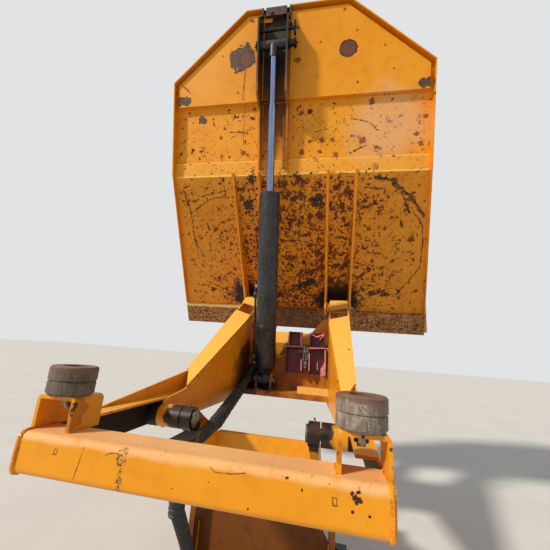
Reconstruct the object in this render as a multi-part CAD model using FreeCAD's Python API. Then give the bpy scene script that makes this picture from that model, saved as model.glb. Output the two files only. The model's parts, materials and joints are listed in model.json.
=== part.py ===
import FreeCAD, Part
import math
import os

from FreeCAD import Vector

# High tipping skip unit of a site dumper, in millimetres.
# X points to the right, Y forward and Z up, seen from behind the machine.
# The origin is the middle of the base plate's underside.
# The skip stands fully tipped. Pairs are mirrored about the plane X = 0.

# Skip hinge
HINGE_Y = 831.0
HINGE_Z = 1611.0
HINGE_PIN_R = 25.0
TIP_DEG = 75.5
RUNNING_GAP = 0.05
WASHER = 8.0

# Rest beam across the rear of the sub-frame, a rectangular tube
BEAM_HALF = 463.0
BEAM_DEPTH = 120.0
BEAM_HEIGHT = 100.0
BEAM_WALL = 8.0
BEAM_CORNER_R = 18.0
BEAM_CAP = 8.0
BEAM_Y = -1128.0
BEAM_TOP = 948.0
BEAM_FRONT = BEAM_Y + BEAM_DEPTH / 2

# Buffers that the lowered skip rests on, with their brackets and studs
BUFFER_X = 400.0
BUFFER_Y = -1118.0
BUFFER_R = 60.0
BUFFER_H = 78.0
BUFFER_LIP = 8.0
BUFFER_GROOVE = 3.0
BUFFER_TOP_GAP = 5.0
BUFFER_BORE_R = 30.0
BUFFER_BORE_DEPTH = 46.0
BRACKET_X = 404.0
BRACKET_HALF = 59.0
BRACKET_REAR = -1156.0
BRACKET_FRONT = -1046.0
BRACKET_PLATE = 10.0
STUD_R = 10.0
NUT_AF = 30.0
NUT_H = 16.0

# Rails and uprights of the sub-frame
RAIL_OUT = 456.0
WEB = 8.0
RAIL_BOTTOM = BEAM_TOP - BEAM_HEIGHT
LEDGE_Z = 962.0
LEDGE_WIDTH = 56.0
LEDGE_FRONT = -360.0
FOOT_Y = -272.0
FOOT_Z = 1058.0
HEAD_Y = 776.0
HEAD_TOP_Z = 1657.0
HEAD_R = 66.0
FRONT_FOOT_Y = 640.0
INNER_X = 308.0
INNER_FOOT_X = 384.0
INNER_FOOT_Y = -404.0
INNER_BEND_Y = 330.0
INNER_REAR_Y = -584.0
INNER_REAR_Z = 890.0
FLANGE = 10.0
FLANGE_END_Y = (407.0, 489.0)
CAP_START_Y = (580.0, 654.0)
BOSS_R = 45.0
BOSS_GAP = 7.0

# Lift arms and their pins
ARM_EYE_Y = -584.0
ARM_EYE_Z = 890.0
ARM_PIVOT_Y = 280.0
ARM_PIVOT_Z = 440.0
ARM_IN = 250.0
ARM_PLATE = 38.0
ARM_BOSS = 4.0
ARM_EYE_R = 46.0
ARM_FOOT_R = 62.0
ARM_PIN_R = 22.0
ARM_FOOT_PIN_R = 28.0
SIDE_GAP = 5.0
CROSS_BAR_Y = -220.0
CROSS_BAR_RISE = 16.0
CROSS_BAR_DEPTH = 40.0
CROSS_BAR_H = 96.0
CROSS_BAR_WALL = 8.0

# Base carrier
BASE_HALF_X = 460.0
BASE_HALF_Y = 450.0
BASE_PLATE = 25.0
BOLT_EDGE = 70.0
BOLT_R = 13.0
CARRIER_IN = 344.0
CARRIER_PLATE = 28.0
CARRIER_BOSS_R = 84.0
CARRIER_REAR = -300.0
CARRIER_SHOULDER = -180.0
CARRIER_TOP = 470.0
STAY_Y = -110.0
STAY_PLATE = 12.0
STAY_CORNER = (120.0, 180.0)

# Skip, drawn level with the hinge at its own origin, then tipped
SKIP_REAR = 2312.0
SKIP_REAR_HALF = 388.0
SKIP_CORNER = (984.0, 1806.0)
SKIP_WAIST = (979.0, 1059.0)
SKIP_MOUTH = (1069.0, 260.0)
SKIP_WALL = 8.0
SKIP_FLARE = 7.0
SKIP_RIM_Z = -516.5
SKIP_TOP_Z = 340.0
SKIP_SPAN = 3000.0
FLOOR_Z = -456.5
FLOOR_PLATE = 8.0
PANEL_DROP = 36.0
PANEL_INSET = 28.0
PANEL_FRONT = -1616.0
STRIP_REAR = -1167.0
FOLD_Y = -1052.0
FRONT_PLATE = 12.0
RAMP_RISE = 0.545
RAMP_RIM = 35.0
LIP_REAR = 29.0
LIP_FRONT = 222.0
LIP_THICK = 24.0
MOUTH_RAKE = 30.0
WALL_SEAM = -1700.0
TOP_RAIL_W = 40.0
TOP_RAIL_H = 50.0
TOP_RAIL_WALL = 4.0

# Hinge ears below the front floor
EAR_PLATE = 16.0
EAR_IN = 258.0
EAR_OUT = 466.0
EAR_R = 66.0
EAR_DEPTH = 45.0

# Tipping ram and its cheeks
RAM_X = -153.0
RAM_FOOT_Y = 415.0
RAM_FOOT_Z = 985.0
RAM_PIN_D = 1974.0
RAM_PIN_N = 576.0
RAM_PIN_R = 25.0
BARREL_R = 75.0
BARREL_BORE_R = 62.0
BARREL_START = 110.0
BARREL_END = 1372.0
GLAND_H = 42.0
GLAND_LIP = 12.0
ROD_R = 28.0
ROD_HEAD_R = 32.0
SOCKET_R = 33.0
SOCKET_H = 95.0
FOOT_EYE_R = 40.0
FOOT_EYE_HALF = 42.0
FOOT_PIN_R = 22.0
FOOT_LUG = 16.0
FOOT_LUG_GAP = 4.0
FOOT_LUG_R = 44.0
CHEEK_PLATE = 12.0
CHEEK_GAP = 200.0
CHEEK_BOTTOM = -640.0
CHEEK_REACH = (-170.0, 374.0)
CHEEK_TAPER = 80.0
CHEEK_END_DEPTH = (88.0, 64.0)
CHEEK_BAR_W = 32.0
CHEEK_BAR_REAR = -1520.0
CHEEK_BAR_FRONT = -1104.0
PIN_LEFT_OUT = 24.0
PIN_RIGHT_OUT = 56.0
LOCK_OFF = 112.0
LOCK_R = 12.0
LATCH_HALF = 80.0
PIPE_R = 8.0
PIPE_OFF = 88.0
PIPE_LOW = 120.0
PIPE_HIGH = 690.0
PIPE_BEND = 30.0

# Cross members between the uprights
DECK_REAR = 330.0
DECK_FRONT = 520.0
DECK_TOP = 917.0
DECK_H = 35.0
DECK_WALL = 8.0
DECK_BAR_LEFT = 101.0
DECK_BAR_H = 51.0
DECK_BAR_DEPTH = 20.0
BOX_TOP = 1265.0
BOX_SLOPE = 90.0
BOX_PLATE = 10.0
GUSSET_W = 148.0
GUSSET_H = 124.0
GUSSET_TOP_W = 43.0

# Hoses, in a sleeve, with the points of their middle line
HOSE_R = 27.0
HOSE_CLIP_Y = -675.0
HOSE_CLIP_HALF = 15.0
UPPER_HOSE = [
    (-278.2, 545.0, 1060.7),
    (-276.0, 277.0, 946.0),
    (-244.0, -172.0, 858.0),
    (-206.0, -441.0, 833.0),
    (-212.0, -735.0, 808.0),
    (-221.0, -700.0, 657.0),
]
LOWER_HOSE = [
    (-221.6, -697.7, 647.0),
    (-224.0, -686.5, 598.0),
    (-250.0, -470.0, 365.0),
    (-262.0, -330.0, 170.0),
    (-262.0, -276.0, 5.0),
]

os.makedirs("parts", exist_ok=True)


def save(name, shape):
    """Write one node."""
    shape.exportStep("parts/" + name + ".step")


def polygon(corners):
    """Flat face of a closed outline."""
    return Part.Face(Part.makePolygon(corners + corners[:1]))


def prism_x(outline, x0, x1):
    """Solid of an outline in Y and Z between two planes of X."""
    return polygon([Vector(x0, y, z) for y, z in outline]).extrude(Vector(x1 - x0, 0, 0))


def prism_y(outline, y0, y1):
    """Solid of an outline in X and Z between two planes of Y."""
    return polygon([Vector(x, y0, z) for x, z in outline]).extrude(Vector(0, y1 - y0, 0))


def prism_z(outline, z0, z1):
    """Solid of an outline in X and Y between two heights."""
    return polygon([Vector(x, y, z0) for x, y in outline]).extrude(Vector(0, 0, z1 - z0))


def block(x0, x1, y0, y1, z0, z1):
    """Box between pairs of planes."""
    return Part.makeBox(x1 - x0, y1 - y0, z1 - z0, Vector(x0, y0, z0))


def bar_x(radius, y, z, x0, x1):
    """Round bar along X."""
    return Part.makeCylinder(radius, x1 - x0, Vector(x0, y, z), Vector(1, 0, 0))


def mirrored(shape):
    """The same piece on the other side."""
    return shape.mirror(Vector(0, 0, 0), Vector(1, 0, 0))


def save_pair(name, right):
    """Write a right piece and its mirror image on the left."""
    save(name + "_right", right)
    save(name + "_left", mirrored(right))


def save_both(name, right):
    """Write a right piece and its mirror image in one node."""
    save(name, Part.makeCompound([right, mirrored(right)]))


def tipped(shape):
    """Carry a piece of the skip from its level drawing to the tipped place."""
    placed = shape.copy()
    placed.rotate(Vector(0, 0, 0), Vector(1, 0, 0), -TIP_DEG)
    placed.translate(Vector(0, HINGE_Y, HINGE_Z))
    return placed


def tube_along(points, radius, name, bends=None):
    """Round bar along straight runs joined by tangent arcs."""
    corners = [Vector(*p) for p in points]
    edges = []
    radii = []
    start = corners[0]
    for i in range(1, len(corners) - 1):
        before = (corners[i] - corners[i - 1]).normalize()
        after = (corners[i + 1] - corners[i]).normalize()
        half = before.getAngle(after) / 2
        shorter = min((corners[i] - corners[i - 1]).Length, (corners[i + 1] - corners[i]).Length)
        bend = bends if bends else 0.45 * shorter / math.tan(half)
        reach = bend * math.tan(half)
        first = corners[i] - before * reach
        last = corners[i] + after * reach
        inward = (after - before).normalize()
        middle = corners[i] + inward * (bend / math.cos(half) - bend)
        edges.append(Part.makeLine(start, first))
        edges.append(Part.Arc(first, middle, last).toShape())
        start = last
        radii.append(round(bend))
    edges.append(Part.makeLine(start, corners[-1]))
    path = Part.Wire(edges)
    direction = corners[1] - corners[0]
    ring = Part.Wire(Part.makeCircle(radius, corners[0], direction))
    solid = path.makePipeShell([ring], True, False)
    expected = math.pi * radius * radius * path.Length
    print(name, "radii", radii, "volume share", round(solid.Volume / expected, 4))
    return solid


# Base carrier
def make_base():
    plate = block(-BASE_HALF_X, BASE_HALF_X, -BASE_HALF_Y, BASE_HALF_Y, 0, BASE_PLATE)
    bolt_x = BASE_HALF_X - BOLT_EDGE
    bolt_y = BASE_HALF_Y - BOLT_EDGE
    for x in (-bolt_x, bolt_x):
        for y in (-bolt_y, bolt_y):
            plate = plate.cut(Part.makeCylinder(BOLT_R, BASE_PLATE, Vector(x, y, 0)))
    save("base_plate", plate)

    outline = [
        (CARRIER_REAR, BASE_PLATE),
        (ARM_PIVOT_Y + CARRIER_BOSS_R + 66, BASE_PLATE),
        (ARM_PIVOT_Y + CARRIER_BOSS_R, ARM_PIVOT_Z),
        (ARM_PIVOT_Y, ARM_PIVOT_Z + CARRIER_BOSS_R),
        (CARRIER_SHOULDER, CARRIER_TOP),
        (CARRIER_SHOULDER, CARRIER_TOP - 265),
    ]
    outer = CARRIER_IN + CARRIER_PLATE
    side = prism_x(outline, CARRIER_IN, outer)
    side = side.fuse(bar_x(CARRIER_BOSS_R, ARM_PIVOT_Y, ARM_PIVOT_Z, CARRIER_IN, outer))
    boss_in = ARM_IN + ARM_PLATE + ARM_BOSS + SIDE_GAP
    side = side.fuse(bar_x(ARM_FOOT_R, ARM_PIVOT_Y, ARM_PIVOT_Z, boss_in, CARRIER_IN))
    bore = bar_x(ARM_FOOT_PIN_R + RUNNING_GAP, ARM_PIVOT_Y, ARM_PIVOT_Z, 0, outer)
    save_pair("base_side", side.cut(bore).removeSplitter())

    corner_w, corner_h = STAY_CORNER
    stay_outline = [
        (-CARRIER_IN, BASE_PLATE),
        (CARRIER_IN, BASE_PLATE),
        (CARRIER_IN, CARRIER_TOP - corner_h),
        (CARRIER_IN - corner_w, CARRIER_TOP),
        (-CARRIER_IN + corner_w, CARRIER_TOP),
        (-CARRIER_IN, CARRIER_TOP - corner_h),
    ]
    save("base_cross_plate", prism_y(stay_outline, STAY_Y, STAY_Y + STAY_PLATE))

    pin = bar_x(ARM_FOOT_PIN_R, ARM_PIVOT_Y, ARM_PIVOT_Z, ARM_IN - 2 * WASHER, outer + WASHER)
    save_both("base_pins", pin)


# Lift arms
def make_arms():
    run_y = ARM_PIVOT_Y - ARM_EYE_Y
    run_z = ARM_PIVOT_Z - ARM_EYE_Z
    length = math.hypot(run_y, run_z)
    across_y = -run_z / length
    across_z = run_y / length
    outline = [
        (ARM_EYE_Y + across_y * ARM_EYE_R, ARM_EYE_Z + across_z * ARM_EYE_R),
        (ARM_PIVOT_Y + across_y * ARM_FOOT_R, ARM_PIVOT_Z + across_z * ARM_FOOT_R),
        (ARM_PIVOT_Y - across_y * ARM_FOOT_R, ARM_PIVOT_Z - across_z * ARM_FOOT_R),
        (ARM_EYE_Y - across_y * ARM_EYE_R, ARM_EYE_Z - across_z * ARM_EYE_R),
    ]
    x0 = ARM_IN
    x1 = ARM_IN + ARM_PLATE
    arm = prism_x(outline, x0, x1)
    arm = arm.fuse(bar_x(ARM_EYE_R, ARM_EYE_Y, ARM_EYE_Z, x0 - ARM_BOSS, x1 + ARM_BOSS))
    arm = arm.fuse(bar_x(ARM_FOOT_R, ARM_PIVOT_Y, ARM_PIVOT_Z, x0 - ARM_BOSS, x1 + ARM_BOSS))
    low = x0 - ARM_BOSS
    high = x1 + ARM_BOSS
    arm = arm.cut(bar_x(ARM_PIN_R + RUNNING_GAP, ARM_EYE_Y, ARM_EYE_Z, low, high))
    arm = arm.cut(bar_x(ARM_FOOT_PIN_R + RUNNING_GAP, ARM_PIVOT_Y, ARM_PIVOT_Z, low, high))
    save_pair("lift_arm", arm.removeSplitter())

    share = (CROSS_BAR_Y - ARM_EYE_Y) / run_y
    z0 = ARM_EYE_Z + share * run_z - CROSS_BAR_H / 2 + CROSS_BAR_RISE
    y0 = CROSS_BAR_Y - CROSS_BAR_DEPTH / 2
    y1 = y0 + CROSS_BAR_DEPTH
    z1 = z0 + CROSS_BAR_H
    wall = CROSS_BAR_WALL
    bar = block(-ARM_IN, ARM_IN, y0, y1, z0, z1)
    core = block(-ARM_IN, ARM_IN, y0 + wall, y1 - wall, z0 + wall, z1 - wall)
    save("arm_cross_bar", bar.cut(core))


# Rest beam with its caps
def rounded_bar(x0, x1, inset):
    """Bar along X with the beam's rounded section, smaller all round by the inset."""
    half_y = BEAM_DEPTH / 2 - inset
    z0 = BEAM_TOP - BEAM_HEIGHT + inset
    solid = block(x0, x1, BEAM_Y - half_y, BEAM_Y + half_y, z0, BEAM_TOP - inset)
    edges = [e for e in solid.Edges if abs(e.tangentAt(e.FirstParameter).x) > 0.9]
    return solid.makeFillet(BEAM_CORNER_R - inset, edges)


def make_rest_beam():
    end = BEAM_HALF - BEAM_CAP
    save("rest_beam", rounded_bar(-end, end, 0).cut(rounded_bar(-end, end, BEAM_WALL)))
    save_both("rest_beam_caps", rounded_bar(end, BEAM_HALF, 0))


# Buffers on their brackets
def make_buffers():
    floor_low = HINGE_Z + FLOOR_Z - PANEL_DROP
    seat = floor_low - BUFFER_TOP_GAP - BUFFER_H
    x0 = BRACKET_X - BRACKET_HALF
    x1 = BRACKET_X + BRACKET_HALF
    outer = block(x0, x1, BRACKET_REAR, BRACKET_FRONT, BEAM_TOP, seat)
    wall = BRACKET_PLATE
    inner = block(x0 + wall, x1 - wall, BRACKET_REAR, BRACKET_FRONT, BEAM_TOP, seat - wall)
    long_edges = []
    for edge in outer.Edges:
        if abs(edge.tangentAt(edge.FirstParameter).y) > 0.9 and edge.CenterOfMass.z > seat - 1:
            long_edges.append(edge)
    bracket = outer.makeFillet(wall + 4, long_edges).cut(inner)
    bore_r = STUD_R + RUNNING_GAP
    hole = Part.makeCylinder(bore_r, 2 * wall, Vector(BUFFER_X, BUFFER_Y, seat - 1.5 * wall))
    save_pair("buffer_bracket", bracket.cut(hole))

    lower = BUFFER_H * 0.46
    lip = BUFFER_LIP
    groove = BUFFER_GROOVE
    floor = BUFFER_H - BUFFER_BORE_DEPTH
    section = [
        (bore_r, 0),
        (BUFFER_R - lip, 0),
        (BUFFER_R, lip),
        (BUFFER_R, lower),
        (BUFFER_R - groove, lower + groove),
        (BUFFER_R + 1, lower + 2 * groove),
        (BUFFER_R + 1, BUFFER_H - 4),
        (BUFFER_R - groove, BUFFER_H),
        (BUFFER_BORE_R, BUFFER_H),
        (BUFFER_BORE_R, floor),
        (bore_r, floor),
    ]
    face = polygon([Vector(r, 0, z) for r, z in section])
    buffer = face.revolve(Vector(0, 0, 0), Vector(0, 0, 1), 360)
    buffer.translate(Vector(BUFFER_X, BUFFER_Y, seat))
    save_pair("buffer", buffer)

    nut_low = seat - wall - NUT_H
    stud_low = nut_low - NUT_H / 2
    nut_high = seat + floor
    stud = Part.makeCylinder(STUD_R, nut_high + NUT_H - stud_low, Vector(BUFFER_X, BUFFER_Y, stud_low))
    corner_r = NUT_AF / math.sqrt(3)
    for z in (nut_low, nut_high):
        ring = []
        for i in range(6):
            angle = math.radians(60 * i)
            ring.append(Vector(BUFFER_X + corner_r * math.cos(angle), BUFFER_Y + corner_r * math.sin(angle), z))
        stud = stud.fuse(polygon(ring).extrude(Vector(0, 0, NUT_H)))
    save_both("buffer_studs", stud)


# Rails and uprights
def flange_z(y):
    """Height of the uprights' sloping edge."""
    return FOOT_Z + (y - FOOT_Y) * (HEAD_TOP_Z - FOOT_Z) / (HEAD_Y - FOOT_Y)


def make_rails():
    outline = [
        (BEAM_FRONT, RAIL_BOTTOM),
        (FRONT_FOOT_Y, RAIL_BOTTOM),
        (HINGE_Y + HEAD_R, HINGE_Z),
        (HEAD_Y, HEAD_TOP_Z),
        (FOOT_Y, FOOT_Z),
        (BRACKET_FRONT, BEAM_TOP),
        (BEAM_FRONT, BEAM_TOP),
    ]
    x1 = RAIL_OUT
    x0 = RAIL_OUT - WEB
    web = prism_x(outline, x0, x1).fuse(bar_x(HEAD_R, HINGE_Y, HINGE_Z, x0, x1))
    ledge = block(x0 - LEDGE_WIDTH, x0, BRACKET_FRONT, LEDGE_FRONT, LEDGE_Z - WEB, LEDGE_Z)
    web = web.fuse(ledge)
    boss_in = ARM_IN + ARM_PLATE + ARM_BOSS + SIDE_GAP
    web = web.fuse(bar_x(ARM_EYE_R, ARM_EYE_Y, ARM_EYE_Z, INNER_FOOT_X + WEB, x0))
    web = web.cut(bar_x(ARM_PIN_R + RUNNING_GAP, ARM_EYE_Y, ARM_EYE_Z, boss_in, x1))
    web = web.cut(bar_x(BOSS_R, HINGE_Y, HINGE_Z, x0, x1))
    save_pair("rail", web.removeSplitter())


def inner_x(y):
    """Distance of the inner web from the middle."""
    if y >= INNER_BEND_Y:
        return INNER_X
    return INNER_X + (INNER_BEND_Y - y) * (INNER_FOOT_X - INNER_X) / (INNER_BEND_Y - INNER_FOOT_Y)


def make_uprights():
    low = DECK_TOP - DECK_H - 10
    outline = [
        (INNER_REAR_Y, INNER_REAR_Z - ARM_EYE_R - 6),
        (INNER_BEND_Y, low),
        (FRONT_FOOT_Y, low),
        (HINGE_Y + HEAD_R, HINGE_Z),
        (HEAD_Y, HEAD_TOP_Z),
        (INNER_FOOT_Y, flange_z(INNER_FOOT_Y)),
        (INNER_REAR_Y - 20, LEDGE_Z - WEB),
    ]
    plan_points = [INNER_REAR_Y - ARM_EYE_R, INNER_FOOT_Y, INNER_BEND_Y, HINGE_Y + HEAD_R]
    plan_inner = [(inner_x(max(y, INNER_FOOT_Y)), y) for y in plan_points]
    plan_outer = [(x + WEB, y) for x, y in reversed(plan_inner)]
    slab = prism_z(plan_inner + plan_outer, 0, HEAD_TOP_Z + HEAD_R)
    side_view = prism_x(outline, 0, RAIL_OUT)
    side_view = side_view.fuse(bar_x(HEAD_R, HINGE_Y, HINGE_Z, 0, RAIL_OUT))
    web = slab.common(side_view)
    boss_out = ARM_IN + ARM_PLATE + ARM_BOSS + SIDE_GAP
    web = web.fuse(bar_x(ARM_EYE_R, ARM_EYE_Y, ARM_EYE_Z, boss_out, INNER_FOOT_X + WEB))
    web = web.cut(bar_x(ARM_PIN_R + RUNNING_GAP, ARM_EYE_Y, ARM_EYE_Z, boss_out, RAIL_OUT))
    boss_in = EAR_IN + EAR_PLATE + BOSS_GAP
    web = web.fuse(bar_x(BOSS_R, HINGE_Y, HINGE_Z, boss_in, EAR_OUT - BOSS_GAP))
    web = web.cut(bar_x(HINGE_PIN_R + RUNNING_GAP, HINGE_Y, HINGE_Z, boss_in, EAR_OUT))
    save_pair("upright", web.removeSplitter())

    plan = [
        (RAIL_OUT, FOOT_Y),
        (RAIL_OUT, FLANGE_END_Y[1]),
        (INNER_X, FLANGE_END_Y[0]),
        (INNER_X, INNER_BEND_Y),
        (INNER_FOOT_X, INNER_FOOT_Y),
        (RAIL_OUT - WEB, FOOT_Y),
    ]
    cap_plan = [
        (RAIL_OUT, CAP_START_Y[1]),
        (RAIL_OUT, HEAD_Y),
        (INNER_X, HEAD_Y),
        (INNER_X, CAP_START_Y[0]),
    ]
    slope = math.atan2(HEAD_TOP_Z - FOOT_Z, HEAD_Y - FOOT_Y)
    rise = FLANGE / math.cos(slope)
    strip = [
        (INNER_FOOT_Y, flange_z(INNER_FOOT_Y)),
        (HEAD_Y, HEAD_TOP_Z),
        (HEAD_Y, HEAD_TOP_Z + rise),
        (INNER_FOOT_Y, flange_z(INNER_FOOT_Y) + rise),
    ]
    layer = prism_x(strip, INNER_X, RAIL_OUT)
    pieces = [layer.common(prism_z(p, 0, 2 * HEAD_TOP_Z)) for p in (plan, cap_plan)]
    save_pair("upright_flange", Part.makeCompound(pieces))

    out = EAR_OUT + EAR_PLATE + 1
    pin = bar_x(HINGE_PIN_R, HINGE_Y, HINGE_Z, EAR_IN - WASHER, out + WASHER)
    pin = pin.fuse(bar_x(HINGE_PIN_R + 13, HINGE_Y, HINGE_Z, out, out + WASHER))
    save_both("hinge_pins", pin)

    inner = ARM_IN - ARM_BOSS - WASHER - 2
    arm_pin = bar_x(ARM_PIN_R, ARM_EYE_Y, ARM_EYE_Z, inner, RAIL_OUT + 6)
    arm_pin = arm_pin.fuse(bar_x(ARM_PIN_R + 12, ARM_EYE_Y, ARM_EYE_Z, inner, inner + WASHER))
    save_both("arm_pins", arm_pin)


# Cross members that carry the ram's foot
def make_cross_members():
    low = DECK_TOP - DECK_H
    wall = DECK_WALL
    deck = block(-INNER_X, INNER_X, DECK_REAR, DECK_FRONT, low, DECK_TOP)
    core = block(-INNER_X, INNER_X, DECK_REAR + wall, DECK_FRONT - wall, low + wall, DECK_TOP - wall)
    deck = deck.cut(core)
    bar_top = DECK_TOP + DECK_BAR_H
    bar = block(DECK_BAR_LEFT, INNER_X, DECK_REAR, DECK_REAR + DECK_BAR_DEPTH, DECK_TOP, bar_top)
    deck = deck.fuse(bar)
    lug_half = FOOT_LUG_R + 16
    lug_outline = [
        (RAM_FOOT_Y - lug_half, DECK_TOP),
        (RAM_FOOT_Y + lug_half, DECK_TOP),
        (RAM_FOOT_Y + FOOT_LUG_R - 1, RAM_FOOT_Z + 8),
        (RAM_FOOT_Y - FOOT_LUG_R + 1, RAM_FOOT_Z + 8),
    ]
    for sign in (-1, 1):
        near = RAM_X + sign * (FOOT_EYE_HALF + FOOT_LUG_GAP)
        x0, x1 = sorted((near, near + sign * FOOT_LUG))
        deck = deck.fuse(prism_x(lug_outline, x0, x1))
        deck = deck.fuse(bar_x(FOOT_LUG_R, RAM_FOOT_Y, RAM_FOOT_Z, x0, x1))
    half = FOOT_EYE_HALF + FOOT_LUG_GAP + FOOT_LUG + WASHER
    bore = bar_x(FOOT_PIN_R + RUNNING_GAP, RAM_FOOT_Y, RAM_FOOT_Z, RAM_X - half, RAM_X + half)
    save("ram_deck", deck.cut(bore).removeSplitter())
    save("ram_foot_pin", bar_x(FOOT_PIN_R, RAM_FOOT_Y, RAM_FOOT_Z, RAM_X - half, RAM_X + half))

    front = DECK_FRONT
    thick = BOX_PLATE
    step = thick * math.tan(math.radians(22.5))
    diagonal = thick / math.sqrt(2)
    outline = [
        (front, low),
        (front, BOX_TOP),
        (front + BOX_SLOPE, BOX_TOP + BOX_SLOPE),
        (front + BOX_SLOPE + diagonal, BOX_TOP + BOX_SLOPE - diagonal),
        (front + thick, BOX_TOP - step),
        (front + thick, low),
    ]
    plate = prism_x(outline, -INNER_X, INNER_X)
    edge_y = front + BOX_SLOPE
    edge_z = BOX_TOP + BOX_SLOPE
    gusset = [
        (INNER_X, edge_z - thick),
        (INNER_X, edge_z + GUSSET_H),
        (INNER_X - GUSSET_TOP_W, edge_z + GUSSET_H),
        (INNER_X - GUSSET_W, edge_z),
        (INNER_X - GUSSET_W, edge_z - thick),
    ]
    right = prism_y(gusset, edge_y, edge_y + diagonal)
    plate = plate.fuse(right).fuse(mirrored(right))
    save("front_cross_plate", plate.removeSplitter())


# Red props on the cross plate, each a narrow head on a wider channel
PROPS = [
    # name, body left, body right, head left, head right
    ("prop_left", -14.0, 118.0, 4.0, 106.0),
    ("prop_right", 160.0, 288.0, 164.0, 278.0),
]
PROP_LOW = 1045.0
PROP_STEP = 1248.0
PROP_TOP = 1352.0
PROP_DEPTH = 70.0
PROP_WALL = 8.0
PROP_BAR_R = 10.0
PROP_BAR_Z = 1236.0


def make_props():
    for name, x0, x1, head0, head1 in PROPS:
        back = DECK_FRONT - PROP_DEPTH
        wall = PROP_WALL
        body = block(x0, x1, back, DECK_FRONT, PROP_LOW, PROP_STEP)
        body = body.cut(block(x0 + wall, x1 - wall, back, DECK_FRONT - wall, PROP_LOW, PROP_STEP - wall))
        head = block(head0, head1, back, DECK_FRONT, PROP_STEP - wall, PROP_TOP)
        core_top = PROP_TOP - wall
        head = head.cut(block(head0 + wall, head1 - wall, back, DECK_FRONT - wall, PROP_STEP, core_top))
        prop = body.fuse(head)
        prop = prop.fuse(bar_x(PROP_BAR_R, back + 2 * PROP_BAR_R, PROP_BAR_Z, x0 - 9, x1 + 9))
        save(name, prop.removeSplitter())


# Hoses from the ram's ports to the chassis
def make_hoses():
    upper = tube_along(UPPER_HOSE, HOSE_R, "hose_upper")
    upper = upper.cut(block(-INNER_X, 0, DECK_FRONT, HINGE_Y, DECK_TOP, HINGE_Z))
    lower = tube_along(LOWER_HOSE, HOSE_R, "hose_lower")
    lower = lower.cut(block(-BASE_HALF_X, 0, -BASE_HALF_Y, 0, -BASE_PLATE, BASE_PLATE))
    save("hose_upper", upper)
    save("hose_lower", lower)

    clip_x, _, clip_z = UPPER_HOSE[-2]
    half = HOSE_R + 5
    y0 = HOSE_CLIP_Y - HOSE_CLIP_HALF
    y1 = HOSE_CLIP_Y + HOSE_CLIP_HALF
    top = RAIL_BOTTOM + 12
    clip = block(clip_x - half, clip_x + half, y0, y1, clip_z - half, top)
    clip = clip.fuse(block(clip_x - half, clip_x + half, BEAM_FRONT, y1, top - 8, top))
    save("hose_clip", clip.cut(upper).removeSplitter())


# Skip
OUTLINE = [
    (-SKIP_REAR_HALF, -SKIP_REAR),
    (SKIP_REAR_HALF, -SKIP_REAR),
    (SKIP_CORNER[0], -SKIP_CORNER[1]),
    (SKIP_WAIST[0], -SKIP_WAIST[1]),
    (SKIP_MOUTH[0], SKIP_MOUTH[1]),
    (-SKIP_MOUTH[0], SKIP_MOUTH[1]),
    (-SKIP_WAIST[0], -SKIP_WAIST[1]),
    (-SKIP_CORNER[0], -SKIP_CORNER[1]),
]


def grown(outline, distance):
    """The outline with every side moved outwards by one distance."""
    count = len(outline)
    corners = []
    for i in range(count):
        ax, ay = outline[i - 1]
        bx, by = outline[i]
        cx, cy = outline[(i + 1) % count]
        first = Vector(by - ay, ax - bx, 0).normalize()
        second = Vector(cy - by, bx - cx, 0).normalize()
        shift = (first + second) * (distance / (1 + first.dot(second)))
        corners.append((bx + shift.x, by + shift.y))
    return corners


def tub(distance):
    """Solid tub whose walls lean outwards, grown on all sides by a distance."""
    lean = (SKIP_TOP_Z - SKIP_RIM_Z) * math.tan(math.radians(SKIP_FLARE))
    wires = []
    for z, extra in ((SKIP_RIM_Z, 0), (SKIP_TOP_Z, lean)):
        ring = [Vector(x, y, z) for x, y in grown(OUTLINE, distance + extra)]
        wires.append(Part.makePolygon(ring + ring[:1]))
    return Part.makeLoft(wires, True, True)


def span(y0, y1, z0, z1, x0=-SKIP_SPAN):
    """Block across the whole skip, or from one plane of X to the right."""
    return block(x0, SKIP_SPAN, y0, y1, z0, z1)


def ramp_z(y):
    """Underside of the sloping front floor."""
    return FLOOR_Z - FRONT_PLATE + (y - FOLD_Y) * RAMP_RISE


def make_skip_floor(inner):
    rear = span(-SKIP_SPAN, FOLD_Y - 5, FLOOR_Z, FLOOR_Z + FLOOR_PLATE).common(inner)
    save("skip_floor_rear", tipped(rear))

    panel_z = FLOOR_Z - PANEL_DROP
    panel = span(-SKIP_SPAN, PANEL_FRONT, panel_z, FLOOR_Z).common(tub(-SKIP_WALL - PANEL_INSET))
    hollow = span(-SKIP_SPAN, PANEL_FRONT - FLOOR_PLATE, panel_z + FLOOR_PLATE, FLOOR_Z)
    hollow = hollow.common(tub(-SKIP_WALL - PANEL_INSET - FLOOR_PLATE))
    save("skip_rest_panel", tipped(panel.cut(hollow)))

    slope = math.atan(RAMP_RISE)
    off_y = -FRONT_PLATE * math.sin(slope)
    off_z = FRONT_PLATE * math.cos(slope)
    meet = FOLD_Y + (FRONT_PLATE - off_z + off_y * RAMP_RISE) / RAMP_RISE
    front_outline = [
        (STRIP_REAR, FLOOR_Z - FRONT_PLATE),
        (FOLD_Y, FLOOR_Z - FRONT_PLATE),
        (LIP_FRONT, ramp_z(LIP_FRONT)),
        (LIP_FRONT + off_y, ramp_z(LIP_FRONT) + off_z),
        (meet, FLOOR_Z),
        (STRIP_REAR, FLOOR_Z),
    ]
    front = prism_x(front_outline, -SKIP_SPAN, SKIP_SPAN).common(inner)
    save("skip_floor_front", tipped(front))


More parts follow.
